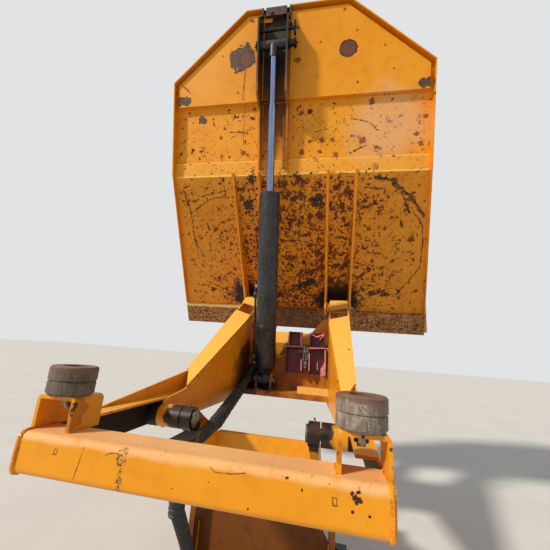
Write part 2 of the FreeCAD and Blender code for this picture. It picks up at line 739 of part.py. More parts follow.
def make_lip(outer):
    """The thick bar under the skip's front edge."""
    slope = math.atan(RAMP_RISE)
    lip_y = LIP_THICK * math.sin(slope)
    lip_z = -LIP_THICK * math.cos(slope)
    lip_outline = [
        (LIP_REAR, ramp_z(LIP_REAR)),
        (LIP_FRONT, ramp_z(LIP_FRONT)),
        (LIP_FRONT + lip_y, ramp_z(LIP_FRONT) + lip_z),
        (LIP_REAR + lip_y, ramp_z(LIP_REAR) + lip_z),
    ]
    lip = prism_x(lip_outline, -SKIP_SPAN, SKIP_SPAN).common(outer)
    save("skip_lip", tipped(lip))
    return lip


def make_skip_walls(outer, inner):
    side_view = [
        (-SKIP_SPAN, SKIP_RIM_Z),
        (FOLD_Y - 23, SKIP_RIM_Z),
        (LIP_REAR, ramp_z(LIP_REAR) - RAMP_RIM),
        (LIP_REAR, ramp_z(LIP_REAR)),
        (LIP_FRONT, ramp_z(LIP_FRONT)),
        (LIP_FRONT + MOUTH_RAKE, SKIP_TOP_Z),
        (-SKIP_SPAN, SKIP_TOP_Z),
    ]
    ring = outer.cut(inner).common(prism_x(side_view, -SKIP_SPAN, SKIP_SPAN))
    rear = ring.common(span(-SKIP_SPAN, WALL_SEAM, SKIP_RIM_Z, SKIP_TOP_Z))
    notch_floor = FLOOR_Z - PANEL_DROP
    notch = block(RAM_X - CHEEK_GAP / 2, RAM_X + CHEEK_GAP / 2, -SKIP_SPAN, WALL_SEAM, SKIP_RIM_Z, notch_floor)
    save("skip_wall_rear", tipped(rear.cut(notch)))
    side = ring.common(span(WALL_SEAM, SKIP_SPAN, SKIP_RIM_Z, SKIP_TOP_Z, x0=0))
    save("skip_wall_right", tipped(side))
    save("skip_wall_left", tipped(mirrored(side)))

    low = SKIP_TOP_Z - TOP_RAIL_H
    wall = TOP_RAIL_WALL
    rail = tub(TOP_RAIL_W).cut(outer).common(span(-SKIP_SPAN, LIP_FRONT, low, SKIP_TOP_Z))
    core = tub(TOP_RAIL_W - wall).cut(tub(wall))
    core = core.common(span(-SKIP_SPAN, LIP_FRONT, low + wall, SKIP_TOP_Z - wall))
    save("skip_top_rail", tipped(rail.cut(core)))


def make_ears(lip):
    foot = EAR_R + 14
    ear_outline = [
        (FOLD_Y - 23, FLOOR_Z - FRONT_PLATE),
        (FOLD_Y - 17, FLOOR_Z - EAR_DEPTH),
        (-EAR_R / math.sqrt(2), -EAR_R / math.sqrt(2)),
        (0, -EAR_R),
        (EAR_R, 0),
        (foot, ramp_z(foot)),
        (FOLD_Y, ramp_z(FOLD_Y)),
    ]
    ears = []
    for x0 in (EAR_IN, EAR_OUT):
        ear = prism_x(ear_outline, x0, x0 + EAR_PLATE)
        ear = ear.fuse(bar_x(EAR_R, 0, 0, x0, x0 + EAR_PLATE))
        ear = ear.cut(bar_x(HINGE_PIN_R + RUNNING_GAP, 0, 0, x0, x0 + EAR_PLATE))
        ears.append(ear.cut(lip))
    pair = Part.makeCompound(ears)
    save("hinge_ears_right", tipped(pair))
    save("hinge_ears_left", tipped(mirrored(pair)))


def make_cheeks():
    panel_z = FLOOR_Z - PANEL_DROP
    strip_z = FLOOR_Z - FRONT_PLATE
    rim_in = -SKIP_REAR + SKIP_WALL + 1
    foot = FOLD_Y - 33
    lock_y = -RAM_PIN_D - LOCK_OFF
    cheek_outline = [
        (rim_in, panel_z),
        (rim_in, SKIP_RIM_Z),
        (rim_in + 70, SKIP_RIM_Z - 20),
        (-RAM_PIN_D + CHEEK_REACH[0], CHEEK_BOTTOM),
        (-RAM_PIN_D + CHEEK_REACH[1], CHEEK_BOTTOM),
        (-RAM_PIN_D + CHEEK_REACH[1] + CHEEK_TAPER, FLOOR_Z - CHEEK_END_DEPTH[0]),
        (foot, FLOOR_Z - CHEEK_END_DEPTH[1]),
        (foot, strip_z),
        (STRIP_REAR, strip_z),
        (STRIP_REAR, FLOOR_Z),
        (PANEL_FRONT, FLOOR_Z),
        (PANEL_FRONT, panel_z),
    ]
    rim_clear = [(-SKIP_SPAN, panel_z - 1), (-SKIP_SPAN, SKIP_TOP_Z), (rim_in, SKIP_TOP_Z), (rim_in, panel_z - 1)]
    rim_clear = prism_x(rim_clear, -SKIP_SPAN, SKIP_SPAN)
    stubs = []
    locks = []
    for name, sign, out in (
        ("ram_cheek_left", -1, PIN_LEFT_OUT),
        ("ram_cheek_right", 1, PIN_RIGHT_OUT),
    ):
        near = RAM_X + sign * CHEEK_GAP / 2
        far = near + sign * CHEEK_PLATE
        tip = far + sign * out
        x0, x1 = sorted((near, far))
        cheek = prism_x(cheek_outline, x0, x1).cut(rim_clear)
        if sign > 0:
            bar_outline = [
                (CHEEK_BAR_REAR, FLOOR_Z),
                (CHEEK_BAR_REAR, FLOOR_Z - 18),
                (CHEEK_BAR_REAR + 40, FLOOR_Z - 42),
                (CHEEK_BAR_FRONT, FLOOR_Z - 28),
                (CHEEK_BAR_FRONT, strip_z),
                (STRIP_REAR, strip_z),
                (STRIP_REAR, FLOOR_Z),
            ]
            cheek = cheek.fuse(prism_x(bar_outline, near - CHEEK_BAR_W, near))
        bore_r = RAM_PIN_R
        cheek = cheek.cut(bar_x(bore_r, -RAM_PIN_D, -RAM_PIN_N, x0, x1))
        cheek = cheek.cut(bar_x(LOCK_R, lock_y, -RAM_PIN_N, x0, x1))
        save(name, tipped(cheek.removeSplitter()))
        a, b = sorted((near, tip))
        c, d = sorted((far, far + sign * WASHER))
        stub = bar_x(bore_r, -RAM_PIN_D, -RAM_PIN_N, a, b)
        stubs.append(stub.fuse(bar_x(bore_r + 10, -RAM_PIN_D, -RAM_PIN_N, c, d)))
        locks.append(tip)
    save("ram_pin_ends", tipped(Part.makeCompound(stubs)))

    lock = bar_x(LOCK_R, lock_y, -RAM_PIN_N, locks[0] + 14, locks[1] - 6)
    x0 = locks[1] - 22
    handle = block(x0, x0 + 14, lock_y - 45, lock_y + 45, -RAM_PIN_N - 18, -RAM_PIN_N + 18)
    save("ram_lock_bar", tipped(lock.fuse(handle).removeSplitter()))

    y0 = rim_in + 4
    latch = block(RAM_X - LATCH_HALF, RAM_X + LATCH_HALF, y0, y0 + 62, SKIP_RIM_Z - 12, panel_z)
    bolt = Part.makeCylinder(13, 10, Vector(RAM_X - 36, y0 + 40, SKIP_RIM_Z - 22))
    save("rear_latch", tipped(latch.fuse(bolt).removeSplitter()))


def make_skip():
    outer = tub(0)
    inner = tub(-SKIP_WALL)
    make_skip_floor(inner)
    lip = make_lip(outer)
    make_skip_walls(outer, inner)
    make_ears(lip)
    make_cheeks()


# Tipping ram, drawn upright on its foot pin and then leaned to the rod's pin
def make_ram():
    tip = math.radians(TIP_DEG)
    pin_y = HINGE_Y - RAM_PIN_D * math.cos(tip) - RAM_PIN_N * math.sin(tip)
    pin_z = HINGE_Z + RAM_PIN_D * math.sin(tip) - RAM_PIN_N * math.cos(tip)
    reach = math.hypot(pin_y - RAM_FOOT_Y, pin_z - RAM_FOOT_Z)
    lean = math.degrees(math.atan2(pin_z - RAM_FOOT_Z, pin_y - RAM_FOOT_Y)) - 90

    def leaned(shape):
        placed = shape.copy()
        placed.rotate(Vector(0, 0, 0), Vector(1, 0, 0), lean)
        placed.translate(Vector(RAM_X, RAM_FOOT_Y, RAM_FOOT_Z))
        return placed

    neck_r = FOOT_EYE_HALF - FOOT_LUG_GAP
    cone_low = FOOT_LUG_R + FOOT_LUG_GAP
    cone_h = BARREL_START - cone_low
    body = Part.makeCylinder(BARREL_R, BARREL_END - BARREL_START, Vector(0, 0, BARREL_START))
    body = body.fuse(Part.makeCone(neck_r, BARREL_R, cone_h, Vector(0, 0, cone_low)))
    body = body.fuse(Part.makeCylinder(neck_r, cone_low, Vector(0, 0, 0)))
    body = body.fuse(bar_x(FOOT_EYE_R, 0, 0, -FOOT_EYE_HALF, FOOT_EYE_HALF))
    body = body.cut(Part.makeCylinder(BARREL_BORE_R, BARREL_END, Vector(0, 0, BARREL_START + 20)))
    body = body.cut(bar_x(FOOT_PIN_R + RUNNING_GAP, 0, 0, -BARREL_R, BARREL_R))
    save("ram_barrel", leaned(body.removeSplitter()))

    gland = Part.makeCylinder(BARREL_BORE_R, GLAND_H, Vector(0, 0, BARREL_END - GLAND_H))
    gland = gland.fuse(Part.makeCylinder(BARREL_R - 3, GLAND_LIP, Vector(0, 0, BARREL_END)))
    gland_low = Vector(0, 0, BARREL_END - GLAND_H)
    gland = gland.cut(Part.makeCylinder(ROD_R + RUNNING_GAP, GLAND_H + GLAND_LIP, gland_low))
    save("ram_gland", leaned(gland))

    pipe_points = [
        (-BARREL_R + 4, 0, PIPE_LOW),
        (-PIPE_OFF, 0, PIPE_LOW),
        (-PIPE_OFF, 0, PIPE_HIGH),
        (-BARREL_R + 4, 0, PIPE_HIGH),
    ]
    pipe = tube_along(pipe_points, PIPE_R, "ram_pipe", bends=PIPE_OFF - BARREL_R)
    save("ram_pipe", leaned(pipe.cut(Part.makeCylinder(BARREL_R, BARREL_END))))

    closed = math.hypot(HINGE_Y - RAM_PIN_D - RAM_FOOT_Y, HINGE_Z - RAM_PIN_N - RAM_FOOT_Z)
    rod_low = reach - closed + BARREL_START + 30
    rod_high = reach - ROD_HEAD_R
    save("ram_rod", leaned(Part.makeCylinder(ROD_R, rod_high - rod_low, Vector(0, 0, rod_low))))
    half = CHEEK_GAP / 2 - 1
    head = bar_x(ROD_HEAD_R, 0, reach, -half, half)
    head = head.fuse(Part.makeCylinder(SOCKET_R, SOCKET_H, Vector(0, 0, reach - SOCKET_H)))
    bore_h = SOCKET_H - ROD_HEAD_R
    head = head.cut(Part.makeCylinder(ROD_R + RUNNING_GAP, bore_h, Vector(0, 0, reach - SOCKET_H)))
    save("ram_rod_head", leaned(head.removeSplitter()))

    lowered = math.atan2(HINGE_Z - RAM_PIN_N - RAM_FOOT_Z, HINGE_Y - RAM_PIN_D - RAM_FOOT_Y)
    swing = math.degrees(lowered) - 90 - lean
    print("ram closed", round(closed, 1), "open", round(reach, 1), "lean", round(lean, 3))
    print("ram swing", round(swing, 3), "ratio", round(swing / TIP_DEG, 6))
    print("stroke per radian", round((reach - closed) / tip / 1000, 6))


make_base()
make_arms()
make_rest_beam()
make_buffers()
make_rails()
make_uprights()
make_cross_members()
make_props()
make_hoses()
make_skip()
make_ram()
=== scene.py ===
"""Looks of a site dumper's high tipping skip unit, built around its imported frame."""

import json
import math

import bmesh
import bpy
import numpy as np
from mathutils import Matrix, Vector


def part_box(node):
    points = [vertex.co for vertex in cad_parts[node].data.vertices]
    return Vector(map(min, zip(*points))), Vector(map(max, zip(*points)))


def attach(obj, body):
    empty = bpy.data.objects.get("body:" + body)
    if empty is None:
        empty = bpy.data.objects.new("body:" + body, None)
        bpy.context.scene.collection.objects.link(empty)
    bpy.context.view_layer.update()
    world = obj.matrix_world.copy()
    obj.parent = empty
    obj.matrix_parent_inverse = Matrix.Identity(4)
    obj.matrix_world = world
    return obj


bl_info = {
    "name": "Site Dumper Skip Unit",
    "version": (1, 0, 0),
    "blender": (4, 5, 0),
    "location": "3D View > Sidebar > Skip Unit",
    "description": "Finishes, weld seams, fasteners and hydraulic fittings of a high tipping skip unit",
    "category": "Object",
}

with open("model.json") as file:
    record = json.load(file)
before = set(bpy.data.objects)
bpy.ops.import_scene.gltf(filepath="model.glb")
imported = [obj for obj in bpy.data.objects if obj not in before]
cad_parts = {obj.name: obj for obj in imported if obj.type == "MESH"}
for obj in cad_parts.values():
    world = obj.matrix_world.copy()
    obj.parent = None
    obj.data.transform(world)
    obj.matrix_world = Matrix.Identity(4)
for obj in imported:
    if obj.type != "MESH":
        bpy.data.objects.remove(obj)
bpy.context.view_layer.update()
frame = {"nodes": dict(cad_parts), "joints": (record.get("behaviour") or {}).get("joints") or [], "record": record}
SLOTS = {part["node"]: part["material_slot"] for part in frame["record"]["subparts"]}
JOINTS = {joint["name"]: joint for joint in frame["joints"]}

# The camera stands where the photograph was taken, measured in metres.
CAMERA_PLACE = (0.3238, -1.920, 1.200)
CAMERA_RIGHT = (0.98175, 0.17448, 0.0756)
CAMERA_DOWN = (0.02986, 0.25095, -0.96755)
CAMERA_FORWARD = (-0.1878, 0.9522, 0.2411)
FOCAL_PX = 302.75
PHOTO_PX = 550
SENSOR_MM = 36.0

# Skip hinge, ram foot and the directions of tipping and of the ram
HINGE = np.array(JOINTS["skip_tip"]["pos_m"])
TIP = math.radians(-JOINTS["skip_tip"]["range_deg"][0])
RAM_FOOT = np.array(JOINTS["ram_swing"]["pos_m"])
RAM_AXIS = np.array(JOINTS["ram_stroke"]["axis"])
ARM_EYE = np.array(JOINTS["level"]["pos_m"])
ARM_PIVOT = np.array(JOINTS["lift"]["pos_m"])
RAM_X = RAM_FOOT[0]
ACROSS = np.array((1.0, 0.0, 0.0))
UP = np.array((0.0, 0.0, 1.0))

# Underside of the skip in its level drawing: heights of its sheets and the fold's slope
FLOOR_Z = -0.4565
PANEL_Z = -0.4925
STRIP_Z = -0.4685
FOLD_Y = -1.052
SLOPE = 0.545
RIM_Z = -0.5165
PLAN = ((0.388, -2.312), (0.984, -1.806), (0.979, -1.059), (1.069, 0.260))
WALL_LEAN = math.tan(math.radians(7.0))

# Places and radii of the chips on the sloping flanges of the uprights
FLANGE_CHIPS = (
    ((0.430, 0.033, 1.232), 0.012),
    ((0.399, 0.069, 1.253), 0.009),
    ((0.410, -0.144, 1.131), 0.006),
    ((-0.381, -0.279, 1.054), 0.008),
)


def linear(hex_colour):
    """sRGB hex to linear: c / 12.92 up to 0.04045, else ((c + 0.055) / 1.055) ** 2.4."""
    value = np.array([int(hex_colour[i : i + 2], 16) for i in (1, 3, 5)]) / 255
    line = np.where(value <= 0.04045, value / 12.92, ((value + 0.055) / 1.055) ** 2.4)
    return (*line.tolist(), 1.0)


def colour_prop(name, description, hex_colour):
    return bpy.props.FloatVectorProperty(
        name=name, description=description, default=linear(hex_colour), size=4, min=0, max=1, subtype="COLOR"
    )


def length_prop(name, description, metres):
    return bpy.props.FloatProperty(name=name, description=description, default=metres, min=0.0, unit="LENGTH")


class SKIPUNIT_PG_colours(bpy.types.PropertyGroup):
    """Colours of the paints, rust, dust and rubber"""

    orange: colour_prop("Orange", "Fresh orange paint", "#E6930C")
    faded: colour_prop("Faded orange", "Orange paint bleached by the sun", "#EAA01C")
    rust: colour_prop("Rust", "Old rust in chips", "#43200F")
    halo: colour_prop("Rust halo", "Stained paint round a chip", "#A0500F")
    scale: colour_prop("Mill scale", "Worn steel under a scuff", "#66503F")
    grease: colour_prop("Grease", "Black grease and oil", "#15110E")
    dust: colour_prop("Dust", "Pale site dust", "#F4C68E")
    black: colour_prop("Black paint", "Ram and fittings", "#222225")
    red: colour_prop("Red paint", "Dark red of the props", "#640D19")
    # Pink of worn red paint, also used as the painted highlight on the props' flanges.
    chalk_and_highlight: colour_prop("Worn red", "Chalky edge of the red paint", "#DE8A8F")
    # The blue of the chrome is a painted reflection of sky.
    chrome: colour_prop("Chrome", "Hard chrome of the rod", "#8B98BA")
    steel: colour_prop("Steel", "Turned and plated steel", "#9A948A")
    rubber: colour_prop("Rubber", "Hose cover", "#1A1A1D")
    iron: colour_prop("Buffer", "Weathered side of the buffers", "#84776A")


class SKIPUNIT_PG_sizes(bpy.types.PropertyGroup):
    """Sizes of seams, chips and fasteners"""

    seam: length_prop("Weld seam", "Radius of a weld bead", 0.006)
    ripple: length_prop("Weld ripple", "Distance between two ripples of a bead", 0.010)
    chip: length_prop("Chip", "Usual size of a paint chip", 0.050)
    bolt: length_prop("Bolt", "Width across flats of a keeper bolt's head", 0.024)
    keeper: length_prop("Keeper plate", "Thickness of a pin's keeper plate", 0.008)
    clamp: length_prop("Pipe clamp", "Width of the band round the ram", 0.030)


# Mesh helpers


def tipped(points):
    """Skip's level drawing to its place: turned by the tip angle about the hinge,
    y' = y cos t + z sin t and z' = z cos t - y sin t, and then moved to the hinge."""
    points = np.asarray(points, float)
    c, s = math.cos(TIP), math.sin(TIP)
    y, z = points[..., 1], points[..., 2]
    return np.stack([points[..., 0], y * c + z * s, z * c - y * s], -1) + HINGE


def under(x, d, n=None):
    """Point of the skip's underside from its distance behind the hinge, on the sloping floor if no depth is given."""
    z = FLOOR_Z - 0.012 + (-d - FOLD_Y) * SLOPE if n is None else -n
    return (x, -d, z)


def piece(name, grids, material, body):
    """One closed mesh of several grids of points; each grid's rows are rings, and its ends are filled
    unless it comes back to its first ring, as a washer does."""
    points = []
    faces = []
    start = 0
    for grid in grids:
        grid = np.asarray(grid, float)
        rows, ring = grid.shape[:2]
        index = start + np.arange(rows * ring).reshape(rows, ring)
        nxt = np.roll(index, -1, axis=1)
        quads = np.stack([index[:-1], nxt[:-1], nxt[1:], index[1:]], -1).reshape(-1, 4)
        faces += quads.tolist()
        if not np.allclose(grid[0], grid[-1]):
            faces += [index[0][::-1].tolist(), index[-1].tolist()]
        points.append(grid.reshape(-1, 3))
        start += rows * ring
    mesh = bpy.data.meshes.new(name)
    mesh.from_pydata(np.concatenate(points).tolist(), [], faces)
    work = bmesh.new()
    work.from_mesh(mesh)
    bmesh.ops.remove_doubles(work, verts=work.verts, dist=1e-6)
    bmesh.ops.recalc_face_normals(work, faces=work.faces)
    work.to_mesh(mesh)
    work.free()
    mesh.polygons.foreach_set("use_smooth", np.ones(len(mesh.polygons), bool))
    mesh.set_sharp_from_angle(angle=math.radians(35))
    mesh.materials.append(material)
    made = bpy.data.objects.new(name, mesh)
    bpy.context.scene.collection.objects.link(made)
    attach(made, body)
    return made


def turned(profile, origin, axis, sides=28):
    """Surface of revolution: origin + h axis + r (cos a u + sin a v) for profile rows of r and h."""
    axis = np.asarray(axis, float) / np.linalg.norm(axis)
    u = np.cross(axis, ACROSS if abs(axis[0]) < 0.9 else UP)
    u /= np.linalg.norm(u)
    v = np.cross(axis, u)
    angle = np.linspace(0, 2 * np.pi, sides, endpoint=False)
    ring = np.cos(angle)[:, None] * u + np.sin(angle)[:, None] * v
    profile = np.asarray(profile, float)
    return np.asarray(origin, float) + profile[:, 1, None, None] * axis + profile[:, 0, None, None] * ring


def hexed(across, height, origin, axis, ring=0.0):
    """Hexagon head: r = across / 2 / cos(((a + 30) mod 60) - 30) in degrees, cut by a cone at its top,
    on an optional round washer."""
    axis = np.asarray(axis, float) / np.linalg.norm(axis)
    u = np.cross(axis, ACROSS if abs(axis[0]) < 0.9 else UP)
    u /= np.linalg.norm(u)
    v = np.cross(axis, u)
    angle = np.linspace(0, 2 * np.pi, 36, endpoint=False)
    flat = across / 2 / np.cos((angle + np.pi / 6) % (np.pi / 3) - np.pi / 6)
    lift = ring * 0.16
    rows = [(np.full(36, ring or across / 2), 0.0), (np.full(36, ring or across / 2), lift)]
    rows += [(flat, lift), (flat, height * 0.82), (np.minimum(flat, across * 0.53), height * 0.92)]
    rows += [(np.full(36, across * 0.46), height), (np.full(36, across * 0.2), height)]
    radius = np.array([r for r, _ in rows])
    level = np.array([h for _, h in rows])
    around = np.cos(angle)[:, None] * u + np.sin(angle)[:, None] * v
    return np.asarray(origin, float) + level[:, None, None] * axis + radius[..., None] * around


def carried(path, radius, sides=8, side=(0.31, 0.47, 0.83)):
    """Round section carried along a path: path + r (cos a p + sin a q), with p the side direction
    made square to the path and q square to both."""
    path = np.asarray(path, float)
    along = np.gradient(path, axis=0)
    along /= np.linalg.norm(along, axis=1, keepdims=True)
    p = np.asarray(side, float) - (along @ np.asarray(side, float))[:, None] * along
    p /= np.linalg.norm(p, axis=1, keepdims=True)
    q = np.cross(along, p)
    angle = np.linspace(0, 2 * np.pi, sides, endpoint=False)
    ring = np.cos(angle)[:, None] * p[:, None] + np.sin(angle)[:, None] * q[:, None]
    radius = np.broadcast_to(radius, len(path))
    return path[:, None] + radius[:, None, None] * ring


def stepped(corners, step):
    """Points at equal steps along straight runs between corners."""
    corners = np.asarray(corners, float)
    runs = np.linalg.norm(np.diff(corners, axis=0), axis=1)
    stations = np.concatenate([[0], np.cumsum(runs)])
    at = np.linspace(0, stations[-1], max(3, int(stations[-1] / step) + 1))
    return np.stack([np.interp(at, stations, corners[:, i]) for i in range(3)], -1), at


def bead(corners, radius, ripple):
    """Weld bead: a round section along the seam whose radius swells as 1 + 0.14 sin(2 pi s / ripple)
    and fades at both ends."""
    path, at = stepped(corners, ripple / 2.4)
    swell = 1 + 0.14 * np.sin(2 * np.pi * at / ripple)
    fade = np.minimum(1, np.minimum(at, at[-1] - at) / (2 * ripple) + 0.35)
    return carried(path, radius * swell * fade, 6)


def smooth_path(corners, count=40):
    """Corners rounded into one curve: repeated corner cutting at a quarter and three quarters of each run."""
    points = np.asarray(corners, float)
    for _ in range(4):
        near = points[:-1] * 0.75 + points[1:] * 0.25
        far = points[:-1] * 0.25 + points[1:] * 0.75
        points = np.concatenate([points[:1], np.stack([near, far], 1).reshape(-1, 3), points[-1:]])
    return points


def slab(outline, thickness, origin, u, v, bevel=0.0015):
    """Plate from an outline in two directions: rings at four heights, the outer two drawn in by the bevel."""
    outline = np.asarray(outline, float)
    centre = outline.mean(0)
    arm = outline - centre
    shrink = 1 - bevel / np.linalg.norm(arm, axis=1, keepdims=True)
    u, v = np.asarray(u, float), np.asarray(v, float)
    w = np.cross(u, v)
    rings = []
    for height, inner in ((0, 1), (bevel, 0), (thickness - bevel, 0), (thickness, 1)):
        flat = centre + arm * (shrink if inner else 1)
        rings.append(flat[:, :1] * u + flat[:, 1:] * v + height * w)
    return np.asarray(origin, float) + np.array(rings)


def rounded(width, height, corner, steps=6):
    """Outline of a rectangle with round corners: corner centres + r (cos a, sin a)."""
    angle = np.linspace(0, np.pi / 2, steps)
    parts = []
    for k, (sx, sy) in enumerate(((1, 1), (-1, 1), (-1, -1), (1, -1))):
        turn = angle + k * np.pi / 2
        centre = np.array((sx * (width / 2 - corner), sy * (height / 2 - corner)))
        parts.append(centre + corner * np.stack([np.cos(turn), np.sin(turn)], -1))
    return np.concatenate(parts)


# Material helpers


def add(tree, kind, inputs=None, **settings):
    """One shader node with its settings; inputs maps sockets to values or to other nodes' sockets."""
    node = tree.nodes.new("ShaderNode" + kind)
    for key, value in settings.items():
        setattr(node, key, value)
    for key, value in (inputs or {}).items():
        if isinstance(value, bpy.types.NodeSocket):
            tree.links.new(value, node.inputs[key])
        else:
            node.inputs[key].default_value = value
    return node


def new_material(name, roughness=0.5, metallic=0.0):
    """A node material, its tree, its shader and its Object coordinates in metres."""
    material = bpy.data.materials.new(name)
    material.use_nodes = True
    tree = material.node_tree
    shader = tree.nodes["Principled BSDF"]
    shader.inputs["Roughness"].default_value = roughness
    shader.inputs["Metallic"].default_value = metallic
    return material, tree, shader, add(tree, "TexCoord").outputs["Object"]


def cloud(tree, where, size, low, high, detail=3.0, stretch=(1, 1, 1), seed=0.0, bend=0.0, push=None):
    """Patchy mask: a cloud of the given size in metres, drawn out along the axes by stretch,
    raised by push, 0 where it is below low and 1 above high."""
    scale = tuple(1 / (size * s) for s in stretch)
    spot = add(tree, "VectorMath", {0: where, 1: scale}, operation="MULTIPLY").outputs[0]
    inputs = {"Vector": spot, "Scale": 1.0, "Detail": detail, "Roughness": 0.55, "Distortion": bend, "W": seed}
    value = add(tree, "TexNoise", inputs, noise_dimensions="4D").outputs["Fac"]
    if push is not None:
        value = add(tree, "Math", {0: value, 1: push}, operation="ADD").outputs[0]
    return add(tree, "MapRange", {"Value": value, "From Min": low, "From Max": high}).outputs["Result"]


def slice_of(tree, where, axis, start, end, uneven=0.0, grain=0.1, seed=0.0):
    """Mask along one axis: 0 before start and 1 past end, with an edge made uneven by a cloud."""
    value = add(tree, "SeparateXYZ", {0: where}).outputs[axis]
    if uneven:
        blur = cloud(tree, where, grain, 0.0, 1.0, 4.0, seed=seed)
        value = add(tree, "Math", {0: blur, 1: uneven, 2: value}, operation="MULTIPLY_ADD").outputs[0]
        start, end = start + uneven / 2, end + uneven / 2
    return add(tree, "MapRange", {"Value": value, "From Min": start, "From Max": end}).outputs["Result"]


def spots(tree, where, marks, ragged=0.5, grain=0.022, edge=0.10):
    """Ragged marks round points: the least distance over radius of all marks, made uneven by a cloud, cut at 1."""
    near = 9.0
    for centre, radius in marks:
        away = add(tree, "VectorMath", {0: where, 1: centre}, operation="DISTANCE").outputs["Value"]
        away = add(tree, "Math", {0: away, 1: radius}, operation="DIVIDE").outputs[0]
        near = add(tree, "Math", {0: away, 1: near}, operation="MINIMUM").outputs[0]
    blur = cloud(tree, where, grain, 0.2, 0.8, 4.0, seed=marks[0][1] * 90)
    uneven = add(tree, "Math", {0: blur, 1: -2 * ragged, 2: near}, operation="MULTIPLY_ADD").outputs[0]
    start = 1 - ragged + edge
    return add(tree, "MapRange", {"Value": uneven, "From Min": start, "From Max": start - 2 * edge}).outputs["Result"]


def gouges(tree, where, lines, width, wander=0.016):
    """Scored lines: the least distance to any run between two points, on coordinates shaken by a 40 mm cloud."""
    shake = add(tree, "TexNoise", {"Vector": where, "Scale": 25.0, "Detail": 3.0}).outputs["Color"]
    inputs = {0: shake, 1: (wander,) * 3, 2: where}
    place = add(tree, "VectorMath", inputs, operation="MULTIPLY_ADD").outputs[0]
    near = 9.0
    for line in lines:
        line = np.asarray(line, float) + wander / 2
        for start, run in zip(line[:-1], np.diff(line, axis=0)):
            away = add(tree, "VectorMath", {0: place, 1: tuple(start)}, operation="SUBTRACT").outputs[0]
            inputs = {0: away, 1: tuple(run / (run @ run))}
            along = add(tree, "VectorMath", inputs, operation="DOT_PRODUCT").outputs["Value"]
            along = add(tree, "Math", {0: along, 1: 0.0}, operation="MAXIMUM").outputs[0]
            along = add(tree, "Math", {0: along, 1: 1.0}, operation="MINIMUM").outputs[0]
            foot = add(tree, "VectorMath", {0: tuple(run), "Scale": along}, operation="SCALE").outputs[0]
            gap = add(tree, "VectorMath", {0: away, 1: foot}, operation="DISTANCE").outputs["Value"]
            near = add(tree, "Math", {0: gap, 1: near}, operation="MINIMUM").outputs[0]
    blur = cloud(tree, where, 0.03, 0.25, 0.75, 3.0, seed=width * 900)
    uneven = add(tree, "Math", {0: blur, 1: -1.6 * width, 2: near}, operation="MULTIPLY_ADD").outputs[0]
    return add(tree, "MapRange", {"Value": uneven, "From Min": width * 0.5, "From Max": -width * 0.1}).outputs["Result"]


class Coat:
    """Finish built up in layers on a base: each layer's masks are multiplied, and it has a colour, a
    roughness and a rise. The rises together make the relief, whose height of 1 is depth in metres."""

    def __init__(self, tree, base, rough):
        self.tree, self.colour, self.rough, self.height = tree, base, rough, 0.0

    def lay(self, masks, colour, rough, rise=0.0):
        mask = masks[0]
        for other in masks[1:]:
            mask = add(self.tree, "Math", {0: mask, 1: other}, operation="MULTIPLY").outputs[0]
        inputs = {0: mask, 6: self.colour, 7: colour}
        self.colour = add(self.tree, "Mix", inputs, data_type="RGBA").outputs[2]
        self.rough = add(self.tree, "Mix", {0: mask, 2: self.rough, 3: rough}).outputs[0]
        if rise:
            inputs = {0: mask, 1: rise, 2: self.height}
            self.height = add(self.tree, "Math", inputs, operation="MULTIPLY_ADD").outputs[0]

    def join(self, shader, depth=0.0):
        self.tree.links.new(self.colour, shader.inputs["Base Color"])
        self.tree.links.new(self.rough, shader.inputs["Roughness"])
        if depth:
            normal = add(self.tree, "Bump", {"Height": self.height, "Distance": depth})
            self.tree.links.new(normal.outputs["Normal"], shader.inputs["Normal"])


def level_coordinates(tree, where):
    """Place in the skip's level drawing: the tipped place turned back about the hinge."""
    shift = -(Matrix.Rotation(TIP, 3, "X") @ Vector(HINGE))
    return add(tree, "Mapping", {"Vector": where, "Location": shift, "Rotation": (TIP, 0, 0)}).outputs[0]


def inside_skip(tree, level):
    """1 on the skip's inner faces: behind the middle of every wall and above the middle of the floors."""
    spot = add(tree, "VectorMath", {0: level}, operation="ABSOLUTE").outputs[0]
    x = add(tree, "SeparateXYZ", {0: spot}).outputs[0]
    y, z = add(tree, "SeparateXYZ", {0: level}).outputs[1:]
    spot = add(tree, "CombineXYZ", {0: x, 1: y, 2: z}).outputs[0]
    plan = [(0.0, PLAN[0][1]), *PLAN]
    planes = []
    for (ax, ay), (bx, by) in zip(plan[:-1], plan[1:]):
        normal = np.array((by - ay, ax - bx)) / math.hypot(bx - ax, by - ay)
        planes.append(((*normal, -WALL_LEAN), normal @ (ax, ay) - WALL_LEAN * RIM_Z - 0.004))
    planes.append(((0.0, 0.0, -1.0), -FLOOR_Z - 0.004))
    planes.append(((0.0, SLOPE, -1.0), FOLD_Y * SLOPE - FLOOR_Z + 0.006))
    beyond = []
    for normal, offset in planes:
        along = add(tree, "VectorMath", {0: spot, 1: normal}, operation="DOT_PRODUCT").outputs["Value"]
        beyond.append(add(tree, "Math", {0: along, 1: offset}, operation="SUBTRACT").outputs[0])
    # The side walls meet in a waist that points inwards, so there the nearer of their two planes counts.
    waist = add(tree, "Math", {0: beyond.pop(3), 1: beyond.pop(2)}, operation="MINIMUM").outputs[0]
    for past in beyond:
        waist = add(tree, "Math", {0: past, 1: waist}, operation="MAXIMUM").outputs[0]
    return add(tree, "MapRange", {"Value": waist, "From Min": 0.0005, "From Max": -0.0005}).outputs["Result"]


# Finishes


